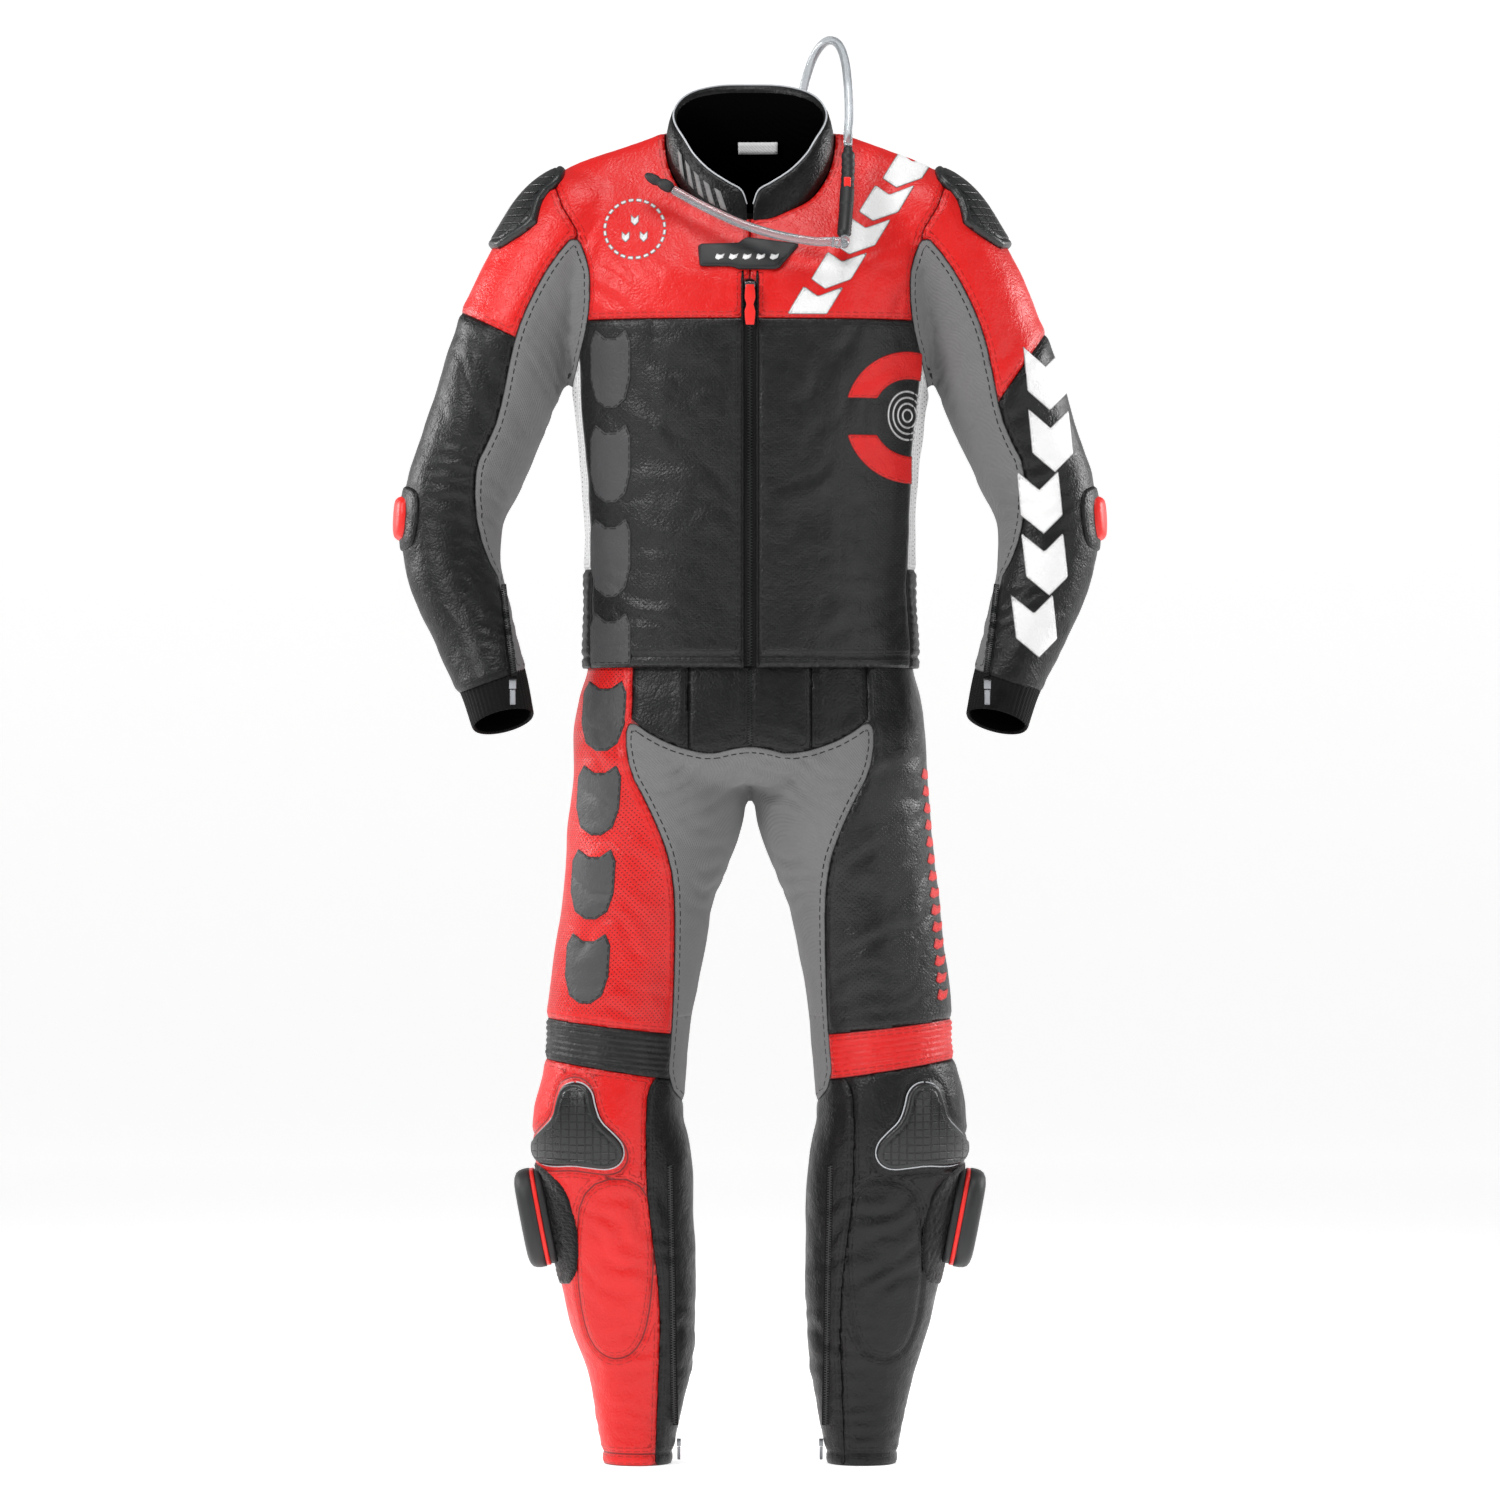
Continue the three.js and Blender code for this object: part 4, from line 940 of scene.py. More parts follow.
def knee_fold(word, side):
    """The two bodies that a trouser leg joins, and where it starts and stops bending."""
    a, b = place([(side * 131, -2, KNEE[0]), (side * 136, -5, KNEE[1])])
    return ("suit", f"lower_leg_{word}", tuple(a), tuple(b))


def chevron(x, z, wide, high, slant=0.0, point=0.3):
    """A slanted arrow bar pointing down, seen from the front."""
    w, h = wide / 2, high / 2
    points = [(-w, h), (0, h - high * point), (w, h), (w, -h + high * point), (0, -h),
              (-w, -h + high * point)]
    return [(x + px + slant * pz, z + pz) for px, pz in points]


def mirror(points):
    """Both halves of an outline whose right half is given."""
    return points + [(-x, z) for x, z in points[::-1] if x]


def bars(shapes, rounded=0):
    """Inside any of a row of outlines."""
    return either(*[outline(points, rounded=rounded) for points in shapes])


def beyond(z, reach):
    """Everything that lies further than a reach above or below a height."""
    def region(p):
        return reach - abs(p[:, 2] - z), np.tile((0.0, 0.0, 1.0), (len(p), 1)), p[:, 0]

    return region


def dashed(x, z, count):
    """Every second stretch of the way round a point, seen from the front."""
    def region(p):
        turn = np.arctan2(p[:, 0] - x, p[:, 2] - z)
        return 1.8 - 4.0 * abs(np.sin(turn * count)), np.tile((0.0, 0.0, 1.0), (len(p), 1)), p[:, 0]

    return region


def applique(name, source, region, material, box, body="suit", high=0.9, fold=None, grid=3.0):
    """A bonded shape on top of a panel, following its creases."""
    part = swatch(source, *box)
    finer(part, grid)
    shape = cut(part, region)
    part.free()
    lift(shape, lambda co, away: sewn(co, 99 + 0 * away) + 0.35 + (high - 0.35) * (1 - np.exp(-away / 0.8)))
    return piece(name, shape, material, body=body, thick=0.0009, fold=fold)


def pleat(name, bm, m, foot, gap=PLEAT):
    """Turns a cut piece into stitched pleats that run round the body, counted up from its foot."""
    finer(bm, FINE)
    lift(bm, ribs(np.array((0, 0, foot)), (0, 0, 1), gap, 1.6))
    return piece(name, bm, m["rib_black"], thick=settings().leather)


class SUIT_OT_jacket(bpy.types.Operator):
    """Cuts the jacket's panels and sews their seams"""
    bl_idname = "suit.jacket"
    bl_label = "Jacket leather"

    def execute(self, context):
        m, thick = palette(), settings().leather
        skin = form("jacket")[1].copy()
        cut(skin, both(half(2, HEM, 1), half(0, 206, 1), half(0, -206, -1))).free()
        cut(skin, both(neck_hole, half(2, 1170, -1))).free()
        for word, side in SIDES:
            cut(skin, outline(CUFF, side)).free()
            stretch = cut(skin, either(both(outline(STRETCH_FRONT, side, rounded=1), half(1, 25, 1)),
                                       both(outline(STRETCH_BACK, side, rounded=1), half(1, -5, -1))))
            lift(stretch, sewn)
            piece(f"stretch_panel_{word}", stretch, m["grey"],
                  [f"underarm_stretch_{word}", f"forearm_stretch_{word}"],
                  thick=thick, fold=elbow_fold(word, side))
            sleeve = cut(skin, outline(ARMHOLE + [(-400, 700), (-400, 1345)], side))
            low, high = COLOUR_SEAM[word]
            top = cut(sleeve, outline([low, high, (-150, 1345), (-400, 1345)], side))
            for bm, name, look, slot, nodes in (
                (top, f"sleeve_red_{word}", "red", "leather_red", [f"sleeve_top_{word}"]),
                (sleeve, f"sleeve_black_{word}", "black", "leather_black",
                 [f"upper_sleeve_{word}", f"elbow_flex_{word}", f"forearm_leather_{word}"]),
            ):
                lift(bm, sewn)
                piece(name, bm, m[look], nodes, thick=thick, fold=elbow_fold(word, side))
        cut(skin, both(half(0, 6.5, 1), half(0, -6.5, -1), half(1, 0, 1), half(2, ZIP_TOP + 2, 1))).free()
        sew(skin, half(2, HEM + 11, 1))
        ribbed = half(2, 898, 1)
        panels = [
            ("yoke_front_right", both(half(2, YOKE, -1), half(0, 0, 1), half(1, 6, 1)), "red", "leather_red",
             ["front_yoke_right"]),
            ("yoke_front_left", both(half(2, YOKE, -1), half(1, 6, 1)), "red", "leather_red",
             ["front_yoke_left"]),
            ("chest_right", both(half(0, 0, 1), half(1, -42, 1)), "black_holes", "leather_perforated",
             ["chest_panel_right"]),
            ("chest_left", half(1, -42, 1), "black_holes", "leather_perforated", ["chest_panel_left"]),
            ("yoke_back", half(2, 1150, -1), "red", "leather_red", ["back_yoke"]),
            ("back", half(1, 48, -1), "black_holes", "leather_black", ["back_panel"]),
            ("side_right", half(0, 0, 1), "white", "leather_white", ["side_panel_right"]),
            ("side_left", half(2, 2000, 1), "white", "leather_white", ["side_panel_left"]),
        ]
        for name, region, look, slot, nodes in panels:
            part = cut(skin, region)
            if name.startswith("side"):
                pleat(f"{name}_pleats", cut(part, ribbed), m, 804)
            if name == "back":
                pleat("back_pleats", cut(part, both(half(2, 930, 1), half(2, 845, -1))), m, 845)
            lift(part, sewn)
            cloth_uv(part)
            piece(name, part, m[look], nodes, thick=thick)
        return {"FINISHED"}


class SUIT_OT_trousers(bpy.types.Operator):
    """Cuts the trousers' panels and sews their seams"""
    bl_idname = "suit.trousers"
    bl_label = "Trousers leather"

    def execute(self, context):
        m, thick = palette(), settings().leather
        skin = form("trousers")[1].copy()
        cut(skin, half(2, WAIST_TOP, -1)).free()
        cut(skin, half(2, 0, 1)).free()
        front = both(outline(mirror(CROTCH_FRONT), rounded=1), half(1, 15, 1))
        back = both(outline(mirror(CROTCH_BACK), rounded=1), half(1, -15, -1))
        stretch = cut(skin, either(front, back))
        for word, side in SIDES:
            low = cut(stretch, both(half(2, KNEE[0] + 1, 1), half(0, 0, -side)), mark=False)
            lift(low, sewn)
            piece(f"inner_knee_stretch_{word}", low, m["grey"], thick=thick,
                  fold=knee_fold(word, side))
        lift(stretch, sewn)
        piece("crotch", stretch, m["grey"], ["crotch_stretch"], thick=thick)
        waist = cut(skin, both(outline(WAIST_FRONT), half(1, -20, 1)))
        for word, side in SIDES:
            pocket = cut(waist, both(half(0, side * 62, side * -1), half(1, 0, 1)))
            lift(pocket, sewn)
            piece(f"waist_side_{word}", pocket, m["black"], thick=thick)
        sew(waist, half(0, 0, 1))
        lift(waist, sewn)
        piece("waist_centre", waist, m["black"], ["waist_front"], thick=thick)
        seat = cut(skin, both(half(2, 612, -1), half(1, 34, -1)))
        pleat("seat_pleats", cut(seat, both(half(2, 790, 1), half(2, 735, -1))), m, 735, gap=8.0)
        lift(seat, sewn)
        piece("seat", seat, m["black"], ["seat_panel"], thick=thick)
        for word, side in SIDES:
            fold = knee_fold(word, side)
            leg = cut(skin, half(0, 0, -side)) if side < 0 else skin
            main, slot = ("red", "leather_red") if side < 0 else ("black", "leather_black")
            pleats = cut(leg, outline(ACCORDION, side))
            finer(pleats, 1.5)
            lift(pleats, ribs(np.array((side * 140, 0, 404)), (side * -0.12, 0, 1), 5.9, 1.7))
            rib, hide = ("rib_black", "leather_black") if side < 0 else ("rib_red", "leather_red")
            piece(f"knee_pleats_{word}", pleats, m[rib], [f"knee_flex_{word}"], thick=thick, fold=fold)
            lower = cut(leg, half(2, 418, 1))
            calf = cut(lower, outline(INNER_CALF, side, rounded=1))
            sew(lower, both(outline(SHIN_SEAM, side, rounded=2), half(1, 0, 1)))
            around_cap = np.array(KNEE_CAP, float) * 1.13 + (20.5, -45)
            sew(lower, both(outline(around_cap, side, rounded=1), half(1, 0, 1)))
            for bm in (lower, calf):
                sew(bm, half(2, 12, 1))
            for bm, name, look, nodes in (
                (leg, f"thigh_leather_{word}", main + "_holes", [f"thigh_{word}"]),
                (lower, f"shin_leather_{word}", main, [f"shin_{word}"]),
                (calf, f"calf_leather_{word}", "black", [f"calf_{word}"]),
            ):
                lift(bm, sewn)
                cloth_uv(bm, (LEG, side))
                piece(name, bm, m[look], nodes, thick=thick,
                      fold=fold)
        return {"FINISHED"}


class SUIT_OT_lining(bpy.types.Operator):
    """Lines the neck, the sleeves and the legs"""
    bl_idname = "suit.lining"
    bl_label = "Lining"

    def execute(self, context):
        m = palette()
        bm = bmesh.new()
        rows = [(z, wide - 6, front - 6, back - 6) for z, wide, front, back in TRUNK if z < 1260]
        rows += [(z - 7, wide - 16, max(front - 9, 5), back - 9) for z, wide, front, back in TRUNK
                 if z > 1260]
        rings = trunk_rings(rows, 72)[1:]
        loft(bm, rings, ends=False)
        ready(bm)
        cut(bm, both(neck_hole, half(2, 1170, -1))).free()
        for _, side in SIDES:
            cut(bm, outline([(-140, 1300), (-140, 1200), (-160, 1130), (-400, 1130), (-400, 1300)],
                            side)).free()
        piece("jacket_lining", bm, m["lining"], thick=0.0008)
        for word, side in SIDES:
            for stem, stations, fold in (("sleeve", ARM[1:], elbow_fold), ("leg", LEG[1:], knee_fold)):
                bm = bmesh.new()
                loft(bm, limb_rings(stations, side, 48, 0, grow=-5.5), ends=False)
                piece(f"{stem}_lining_{word}", bm, m["lining"], thick=0.0008,
                      fold=fold(word, side))
        return {"FINISHED"}


class SUIT_OT_cuffs(bpy.types.Operator):
    """Knits the ribbed cuffs"""
    bl_idname = "suit.cuffs"
    bl_label = "Cuffs"

    def execute(self, context):
        m = palette()
        for word, side in SIDES:
            rows = smooth(ARM[8:], 6)
            centre = rows[:, :3]
            count = 168
            t = np.linspace(0, 2 * np.pi, count, endpoint=False)
            outer = path_rings(centre, rows[:, 3] - 1.6, rows[:, 4] - 1.6, count)
            inner = path_rings(centre, rows[:, 3] - 3.4, rows[:, 4] - 3.4, count)
            keep = [i for i in range(len(rows)) if rows[i, 2] < 806]
            wave = (1 + 0.014 * np.cos(t * 42))[:, None]
            rings = [centre[i] + (outer[i] - centre[i]) * wave for i in keep]
            rings += [centre[-1] + (outer[-1] * 0.6 + inner[-1] * 0.4 - centre[-1])
                      + (rings[-1] - rings[-2]).mean(0) * 0.25]
            rings += [inner[i] for i in reversed(keep)]
            rings = [r * (-side, 1, 1) for r in rings]
            bm = bmesh.new()
            loft(bm, rings, ends=False)
            ready(bm)
            cut(bm, both(outline([(-330, 763.5), (-180, 815.7), (-180, 840), (-330, 840)], side))).free()
            piece(f"cuff_knit_{word}", bm, m["knit"], [f"cuff_{word}"], body=f"forearm_{word}")
        return {"FINISHED"}


def puller(name, low, high, body, node, m, lean=0.0):
    """A zip slider with its pull tab, inside a box, in metres."""
    middle, size = (low + high) / 2, high - low
    bm = bmesh.new()
    bmesh.ops.create_cube(bm, size=1)
    bmesh.ops.scale(bm, vec=(size.x, size.y * 0.55, size.z * 0.34), verts=bm.verts)
    bmesh.ops.translate(bm, vec=(0, 0, size.z * 0.31), verts=bm.verts)
    tab = bmesh.ops.create_cube(bm, size=1)["verts"]
    bmesh.ops.scale(bm, vec=(size.x * 0.8, size.y * 0.3, size.z * 0.6), verts=tab)
    bmesh.ops.translate(bm, vec=(0, size.y * -0.2, size.z * -0.18), verts=tab)
    faces = [f for f in bm.faces if abs(f.normal.y) > 0.9 and f.calc_center_median().z < 0]
    bmesh.ops.inset_individual(bm, faces=faces, thickness=min(size.x, size.z) * 0.16, depth=-size.y * 0.06)
    bmesh.ops.bevel(bm, geom=bm.edges, offset=min(size) * 0.08, offset_type="OFFSET", affect="EDGES",
                    segments=2, profile=0.5, material=-1)
    bmesh.ops.rotate(bm, cent=(0, 0, 0), matrix=Matrix.Rotation(lean, 3, "X"), verts=bm.verts)
    bmesh.ops.translate(bm, vec=middle, verts=bm.verts)
    return piece(name, bm, m, [node], body=body)


def zip_run(name, points, m, body, wide=12.0, tape_out=0.2, fold=None, gap=3.0):
    """A closed zip along a path: woven tape, and teeth meshed down its middle."""
    line = np.array(points, float)
    along = np.gradient(line, axis=0)
    along /= np.linalg.norm(along, axis=1)[:, None]
    normal = np.cross(along, np.cross((0, -1, 0), along))
    normal = normal / np.maximum(np.linalg.norm(normal, axis=1), 1e-6)[:, None]
    normal *= np.sign(-normal[:, 1])[:, None]
    across = np.cross(along, normal)
    bm = bmesh.new()
    rings = [np.array([c - a * wide / 2, c + a * wide / 2, c + a * wide / 2 - n * 0.8, c - a * wide / 2 - n
                       * 0.8])
             for c, a, n in zip(line + normal * tape_out, across, normal)]
    loft(bm, rings)
    tape = piece(f"{name}_tape", bm, m["tape"], body=body, fold=fold, flat=True)
    bm = bmesh.new()
    steps = np.concatenate([[0], np.cumsum(np.linalg.norm(np.diff(line, axis=0), axis=1))])
    for k, d in enumerate(np.arange(1.5, steps[-1] - 1.5, gap / 2)):
        c, a, n, w = (np.array([np.interp(d, steps, v[:, i]) for i in range(3)])
                      for v in (line, across, normal, along))
        made = bmesh.ops.create_cube(bm, size=1)["verts"]
        c = c + n * (tape_out + 0.5) + a * (0.9 if k % 2 else -0.9)
        turn = Matrix([a, n, w]).transposed().normalized().to_4x4()
        bmesh.ops.transform(bm, matrix=Matrix.Translation(place([c])[0]) @ turn @ Matrix.Diagonal((0.0030,
                0.0014, 0.0011, 1)), verts=made)
    piece(f"{name}_teeth", bm, m["teeth"], body=body, fold=fold, flat=True)
    return tape


def surface(which, creased=True):
    """A form that points can be dropped onto."""
    key = (which, creased, "tree")
    if key not in FORMS:
        FORMS[key] = BVHTree.FromBMesh(form(which)[int(creased)])
    return FORMS[key]


def drape(which, points, rise=0.5, back=False):
    """Puts points seen from the front (x, z) onto the skin, rise mm proud of it."""
    tree, found = surface(which), []
    for x, z in points:
        start = Vector(place([(x, 600 if back else -600, z)])[0])
        hit, normal, _, _ = tree.ray_cast(start, Vector((0, -1 if back else 1, 0)))
        if hit is None:  # just past the form's outline as seen from the front
            hit, normal, _, _ = tree.find_nearest(Vector(place([(x, 30 if back else -30, z)])[0]))
        found.append(in_mm(hit + normal * rise / 1000))
    return np.array(found)


def resample(points, count):
    """The same path with its points evenly spaced."""
    p = np.array(points, float)
    steps = np.concatenate([[0], np.cumsum(np.linalg.norm(np.diff(p, axis=0), axis=1))])
    at = np.linspace(0, steps[-1], count)
    return np.stack([np.interp(at, steps, p[:, k]) for k in range(p.shape[1])], 1)


def cord_mesh(points, radius, around=10, ends=True):
    """A round cord down a path."""
    bm = bmesh.new()
    radii = np.broadcast_to(radius, len(points)).astype(float)
    loft(bm, round_rings(points, radii, around), ends=ends)
    return bm


def round_rings(points, radii, around):
    """Round rings down a path, turned as little as the path allows."""
    c = np.array(points, float)
    along = np.gradient(c, axis=0)
    along /= np.linalg.norm(along, axis=1)[:, None]
    side = np.cross(along[0], (0.3, 0.2, 0.9))
    t = np.linspace(0, 2 * np.pi, around, endpoint=False)
    rings = []
    for p, a, r in zip(c, along, radii):
        side = side - a * (side @ a)
        side /= np.linalg.norm(side)
        rings.append(p + r * (np.outer(np.cos(t), side) + np.outer(np.sin(t), np.cross(a, side))))
    return rings


class SUIT_OT_zips(bpy.types.Operator):
    """Adds the zips, their pullers and the piping beside the main zip"""
    bl_idname = "suit.zips"
    bl_label = "Zips"

    def execute(self, context):
        m = palette()
        heights = np.linspace(HEM + 1, ZIP_TOP + 2, 60)
        middle = np.stack([0 * heights, -105.2 + 0 * heights, heights], 1)
        middle[:, 1] = np.interp(heights, [800, 980, 1147, 1190], [-104.0, -105.6, -105.0, -102.0])
        tape = zip_run("main_zip", middle, m, "suit", wide=14.5)
        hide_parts("main_zip")
        lips = bmesh.new()
        for side in (-1, 1):
            path = drape("jacket", [(side * 7.4, z) for z in np.linspace(HEM + 1, ZIP_TOP + 10, 90)],
                         rise=-0.4)
            loft(lips, round_rings(path, np.full(len(path), 1.5), 8))
        piece("zip_piping", lips, m["black"])
        low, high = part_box("main_zip_slider")
        puller("zip_slider_body", low, high, "zip_slider", "main_zip_slider", m["metal"])
        low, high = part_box("main_zip_pull")
        bm = bmesh.new()
        bmesh.ops.create_cube(bm, size=1)
        size, centre = high - low, (low + high) / 2
        bmesh.ops.scale(bm, vec=size, verts=bm.verts)
        bmesh.ops.subdivide_edges(bm,
                                  edges=[e for e in bm.edges
                                         if abs((e.verts[0].co - e.verts[1].co).z) > 0.001], cuts=5,
                                         use_grid_fill=True)
        for v in bm.verts:
            v.co.x *= 0.62 + 0.38 * abs(math.sin(v.co.z / size.z * math.pi * 2.2))
        bmesh.ops.bevel(bm, geom=bm.edges, offset=0.0004, offset_type="OFFSET", affect="EDGES", segments=2,
                        profile=0.5, material=-1)
        bmesh.ops.translate(bm, vec=centre, verts=bm.verts)
        piece("zip_pull_tab", bm, m["slider_red"], ["main_zip_pull"], body="zip_pull")
        for word, side in SIDES:
            line = resample([(side * 249, 884), (side * 244, 845), (side * 236, 792)], 30)
            zip_run(f"cuff_zip_{word}", drape("jacket", line, rise=1.4), m, f"forearm_{word}", wide=6,
                    gap=2.6)
            low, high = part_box(f"cuff_zip_puller_{word}")
            puller(f"cuff_pull_{word}", low, high, f"cuff_puller_{word}", f"cuff_zip_puller_{word}",
                   m["metal"], lean=math.radians(17))
            line = resample([(side * 81, 304), (side * 78.5, 178), (side * 77, 40)], 60)
            zip_run(f"ankle_zip_{word}", drape("trousers", line, rise=1.2), m, f"lower_leg_{word}", wide=8,
                    gap=2.6)
            low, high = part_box(f"ankle_zip_puller_{word}")
            puller(f"ankle_pull_{word}", low, high, f"ankle_puller_{word}", f"ankle_zip_puller_{word}",
                   m["metal"])
        fly = drape("trousers", [(0, z) for z in np.linspace(722, 800, 24)], rise=-1.2)
        zip_run("fly_zip", fly, m, "suit", wide=4, gap=2.6)
        return {"FINISHED"}


class SUIT_OT_collar(bpy.types.Operator):
    """Builds the padded stand collar with a pale cord along its top edge, painted as its edge highlight, and
    its soft inside
    """
    bl_idname = "suit.collar"
    bl_label = "Collar"

    def execute(self, context):
        m = palette()
        rows = [  # degrees from the front, foot, top, top's share of the foot's width
            (2.2, 1240, 1262, 0.99), (6, 1242, 1276, 0.985), (15, 1249, 1284, 0.98), (30, 1259, 1297, 0.97),
            (45, 1276, 1314, 0.96),
            (60, 1296, 1334, 0.95), (90, 1331, 1358, 0.92), (120, 1334, 1378, 0.88), (150, 1332, 1388, 0.86),
            (180, 1331, 1390, 0.86),
        ]
        rows += [(360 - d, *r) for d, *r in rows[-2::-1]]
        rows = smooth(rows, 7)
        edge = []
        middle, size = np.array((0, NECK[2], 0)), np.array((NECK[0] - 0.8, NECK[1] - 0.8, 0))
        # up the outside and down the inside: share of the height, share of the lean, padding
        section = [(0.0, 0.0, 0.0), (0.35, 0.35, 1.6), (0.7, 0.7, 1.4), (0.93, 0.93, 0.4), (1.0, 1.0, -1.6),
                   (0.985, 0.985, -4.2), (0.9, 0.9, -5.4), (0.5, 0.5, -5.8), (0.0, 0.0, -5.8)]
        rings = []
        for degrees, foot, top, share in rows:
            t = math.radians(degrees)
            out = np.array((-math.sin(t), -math.cos(t), 0))
            ring_points = []
            for up, lean, puff in section:
                scale = 1 + (share - 1) * lean
                p = middle + out * size * scale
                p[2] = foot - 8 + (top - foot + 8) * up
                ring_points.append(p + out * puff)
            rings.append(np.array(ring_points))
            edge.append(rings[-1][4])
        bm = bmesh.new()
        loft(bm, rings)
        collar = piece("collar_leather", bm, m["black"], ["collar"])
        # A pale cord along the collar's top edge: its pale colour is a painted edge highlight.
        bm = cord_mesh(np.array(edge) + (0, 0, 0.6), 0.9, 8)
        piece("collar_edge_highlight", bm, m["rim"])
        bm = bmesh.new()
        pad = []
        for ring_points in rings:
            inside = ring_points[6:9]
            out = inside[0] - (0, NECK[2], inside[0][2])
            out = out / np.linalg.norm(out[:2])
            out[2] = 0
            drop = np.array([(0, 0, -1.0), (0, 0, 0), (0, 0, -26)])
            face = inside + drop - out * np.array([[0.6], [1.8], [1.2]])
            pad.append(np.vstack([face, face[::-1] + out * 1.0]))
        loft(bm, pad)
        piece("collar_lining", bm, m["lining"])
        label = bmesh.new()
        bmesh.ops.create_grid(label, x_segments=12, y_segments=3, size=0.5)
        for v in label.verts:
            x = 8 + 40 * v.co.x
            v.co = place([(x, 37 - 0.0042 * x * x, 1326 + 12 * v.co.y)])[0]
        bmesh.ops.recalc_face_normals(label, faces=label.faces)
        piece("neck_label", label, m["tape_white"], thick=0.0016)
        skin, turns = np.array(rings), rows[:, 0]
        dashes = bmesh.new()
        for k in range(5):
            made = bmesh.ops.create_grid(dashes, x_segments=2, y_segments=5, size=0.5)["verts"]
            for v in made:
                turn, up = 20 + 8.5 * k + 4.6 * v.co.x + 5 * v.co.y, 1.5 + v.co.y * 1.1
                low = int(up)
                line = skin[:, low] * (low + 1 - up) + skin[:, low + 1] * (up - low)
                out = np.array((-math.sin(math.radians(turn)), -math.cos(math.radians(turn)), 0))
                v.co = place([[np.interp(turn, turns, line[:, axis]) for axis in range(3)] + out * 0.7])[0]
        bmesh.ops.recalc_face_normals(dashes, faces=dashes.faces)
        piece("collar_dashes", dashes, m["patch_white"], thick=0.0008)
        return {"FINISHED"}


def relief(high, border=None, edge=1.3):
    """A moulded part's profile: a raised edge, and a step down into the tiled field past its border."""
    def height(co, away):
        rise = high * (1 - np.exp(-away / edge))
        if border is None:
            return rise, 0 * away
        field = np.clip((away - border) / 0.9, 0, 1)
        return rise - 0.9 * np.exp(-(((away - border) / 1.1) ** 2)), field

    return height


def armour(name, source, region, box, profile, material, nodes, body, axes=(0, 2), grid=1.6,
           thick=0.003):
    """A moulded part that follows the form under it and stands up by its profile."""
    part = swatch(source, *box)
    shape = cut(part, region)
    part.free()
    finer(shape, grid)
    cloth_uv(shape, axes=axes)
    seam = shape.verts.layers.float["seam"]
    field = shape.verts.layers.float.new("field")
    verts = list(shape.verts)
    co = verts_mm(shape)
    for v, f in zip(verts, profile(co, np.array([v[seam] for v in verts]))[1]):
        v[field] = float(f)
    lift(shape, lambda co, away: profile(co, away)[0])
    return piece(name, shape, material, nodes, body=body, thick=thick)


class SUIT_OT_armour(bpy.types.Operator):
    """Moulds the shoulder caps, elbow sliders, knee caps and hook patches"""
    bl_idname = "suit.armour"
    bl_label = "Armour"

    def execute(self, context):
        m = palette()
        jacket, trousers = form("jacket")[1], form("trousers")[1]
        for word, side in SIDES:
            flip = (lambda b: b) if side < 0 else (lambda b: [(-b[1][0], *b[0][1:]), (-b[0][0], *b[1][1:])])
            armour(f"shoulder_cap_shell_{word}", jacket, shoulder_limits(side),
                   flip([(-300, -70, 1195), (-170, 90, 1345)]),
                   relief(6.4, 7.5), m["tiled"], [f"shoulder_cap_{word}"], "suit",
                   axes=(1, 2))
            armour(f"knee_cap_shell_{word}", trousers, knee_limits(side),
                   flip([(-235, -110, 285), (-110, 10, 400)]),
                   relief(5.6, 6.5), m["tiled"], [f"knee_cap_{word}"], f"lower_leg_{word}")
            border = resample(outline_round(np.array(KNEE_CAP, float) * (-side, 1), 2), 110)
            # A pale cord round the knee cap: its pale colour is a painted edge highlight.
            rim = cord_mesh(drape("trousers", border, rise=0.9), 0.9, 8)
            piece(f"knee_cap_highlight_rim_{word}", rim, m["rim"], body=f"lower_leg_{word}")
            box = flip([(-370, -40, 900), (-300, 80, 1000)])
            armour(f"elbow_base_{word}", jacket, elbow_limits(side), box, relief(2.6), m["black"],
                   (), f"forearm_{word}", grid=3, thick=0.0025)
            pad = both(outline(ELBOW_PAD, plane=(1, 2), rounded=1), half(0, side * 320, -side))
            armour(f"elbow_pad_{word}", jacket, pad, box, relief(8.6, edge=2.6), m["slider_red"],
                   [f"elbow_slider_{word}"], f"forearm_{word}")
            armour(f"hook_pile_{word}", trousers, hook_limits(side),
                   flip([(-260, -90, 165), (-160, 80, 315)]),
                   lambda co, away: (1.9 * (1 - np.exp(-away / 1.0)) + 1.3 * bumps(co, 2.6, 5.5), 0 * away),
                   m["pile"], [f"hook_patch_{word}"], f"lower_leg_{word}", grid=2.0,
                   thick=0.0015)
        return {"FINISHED"}


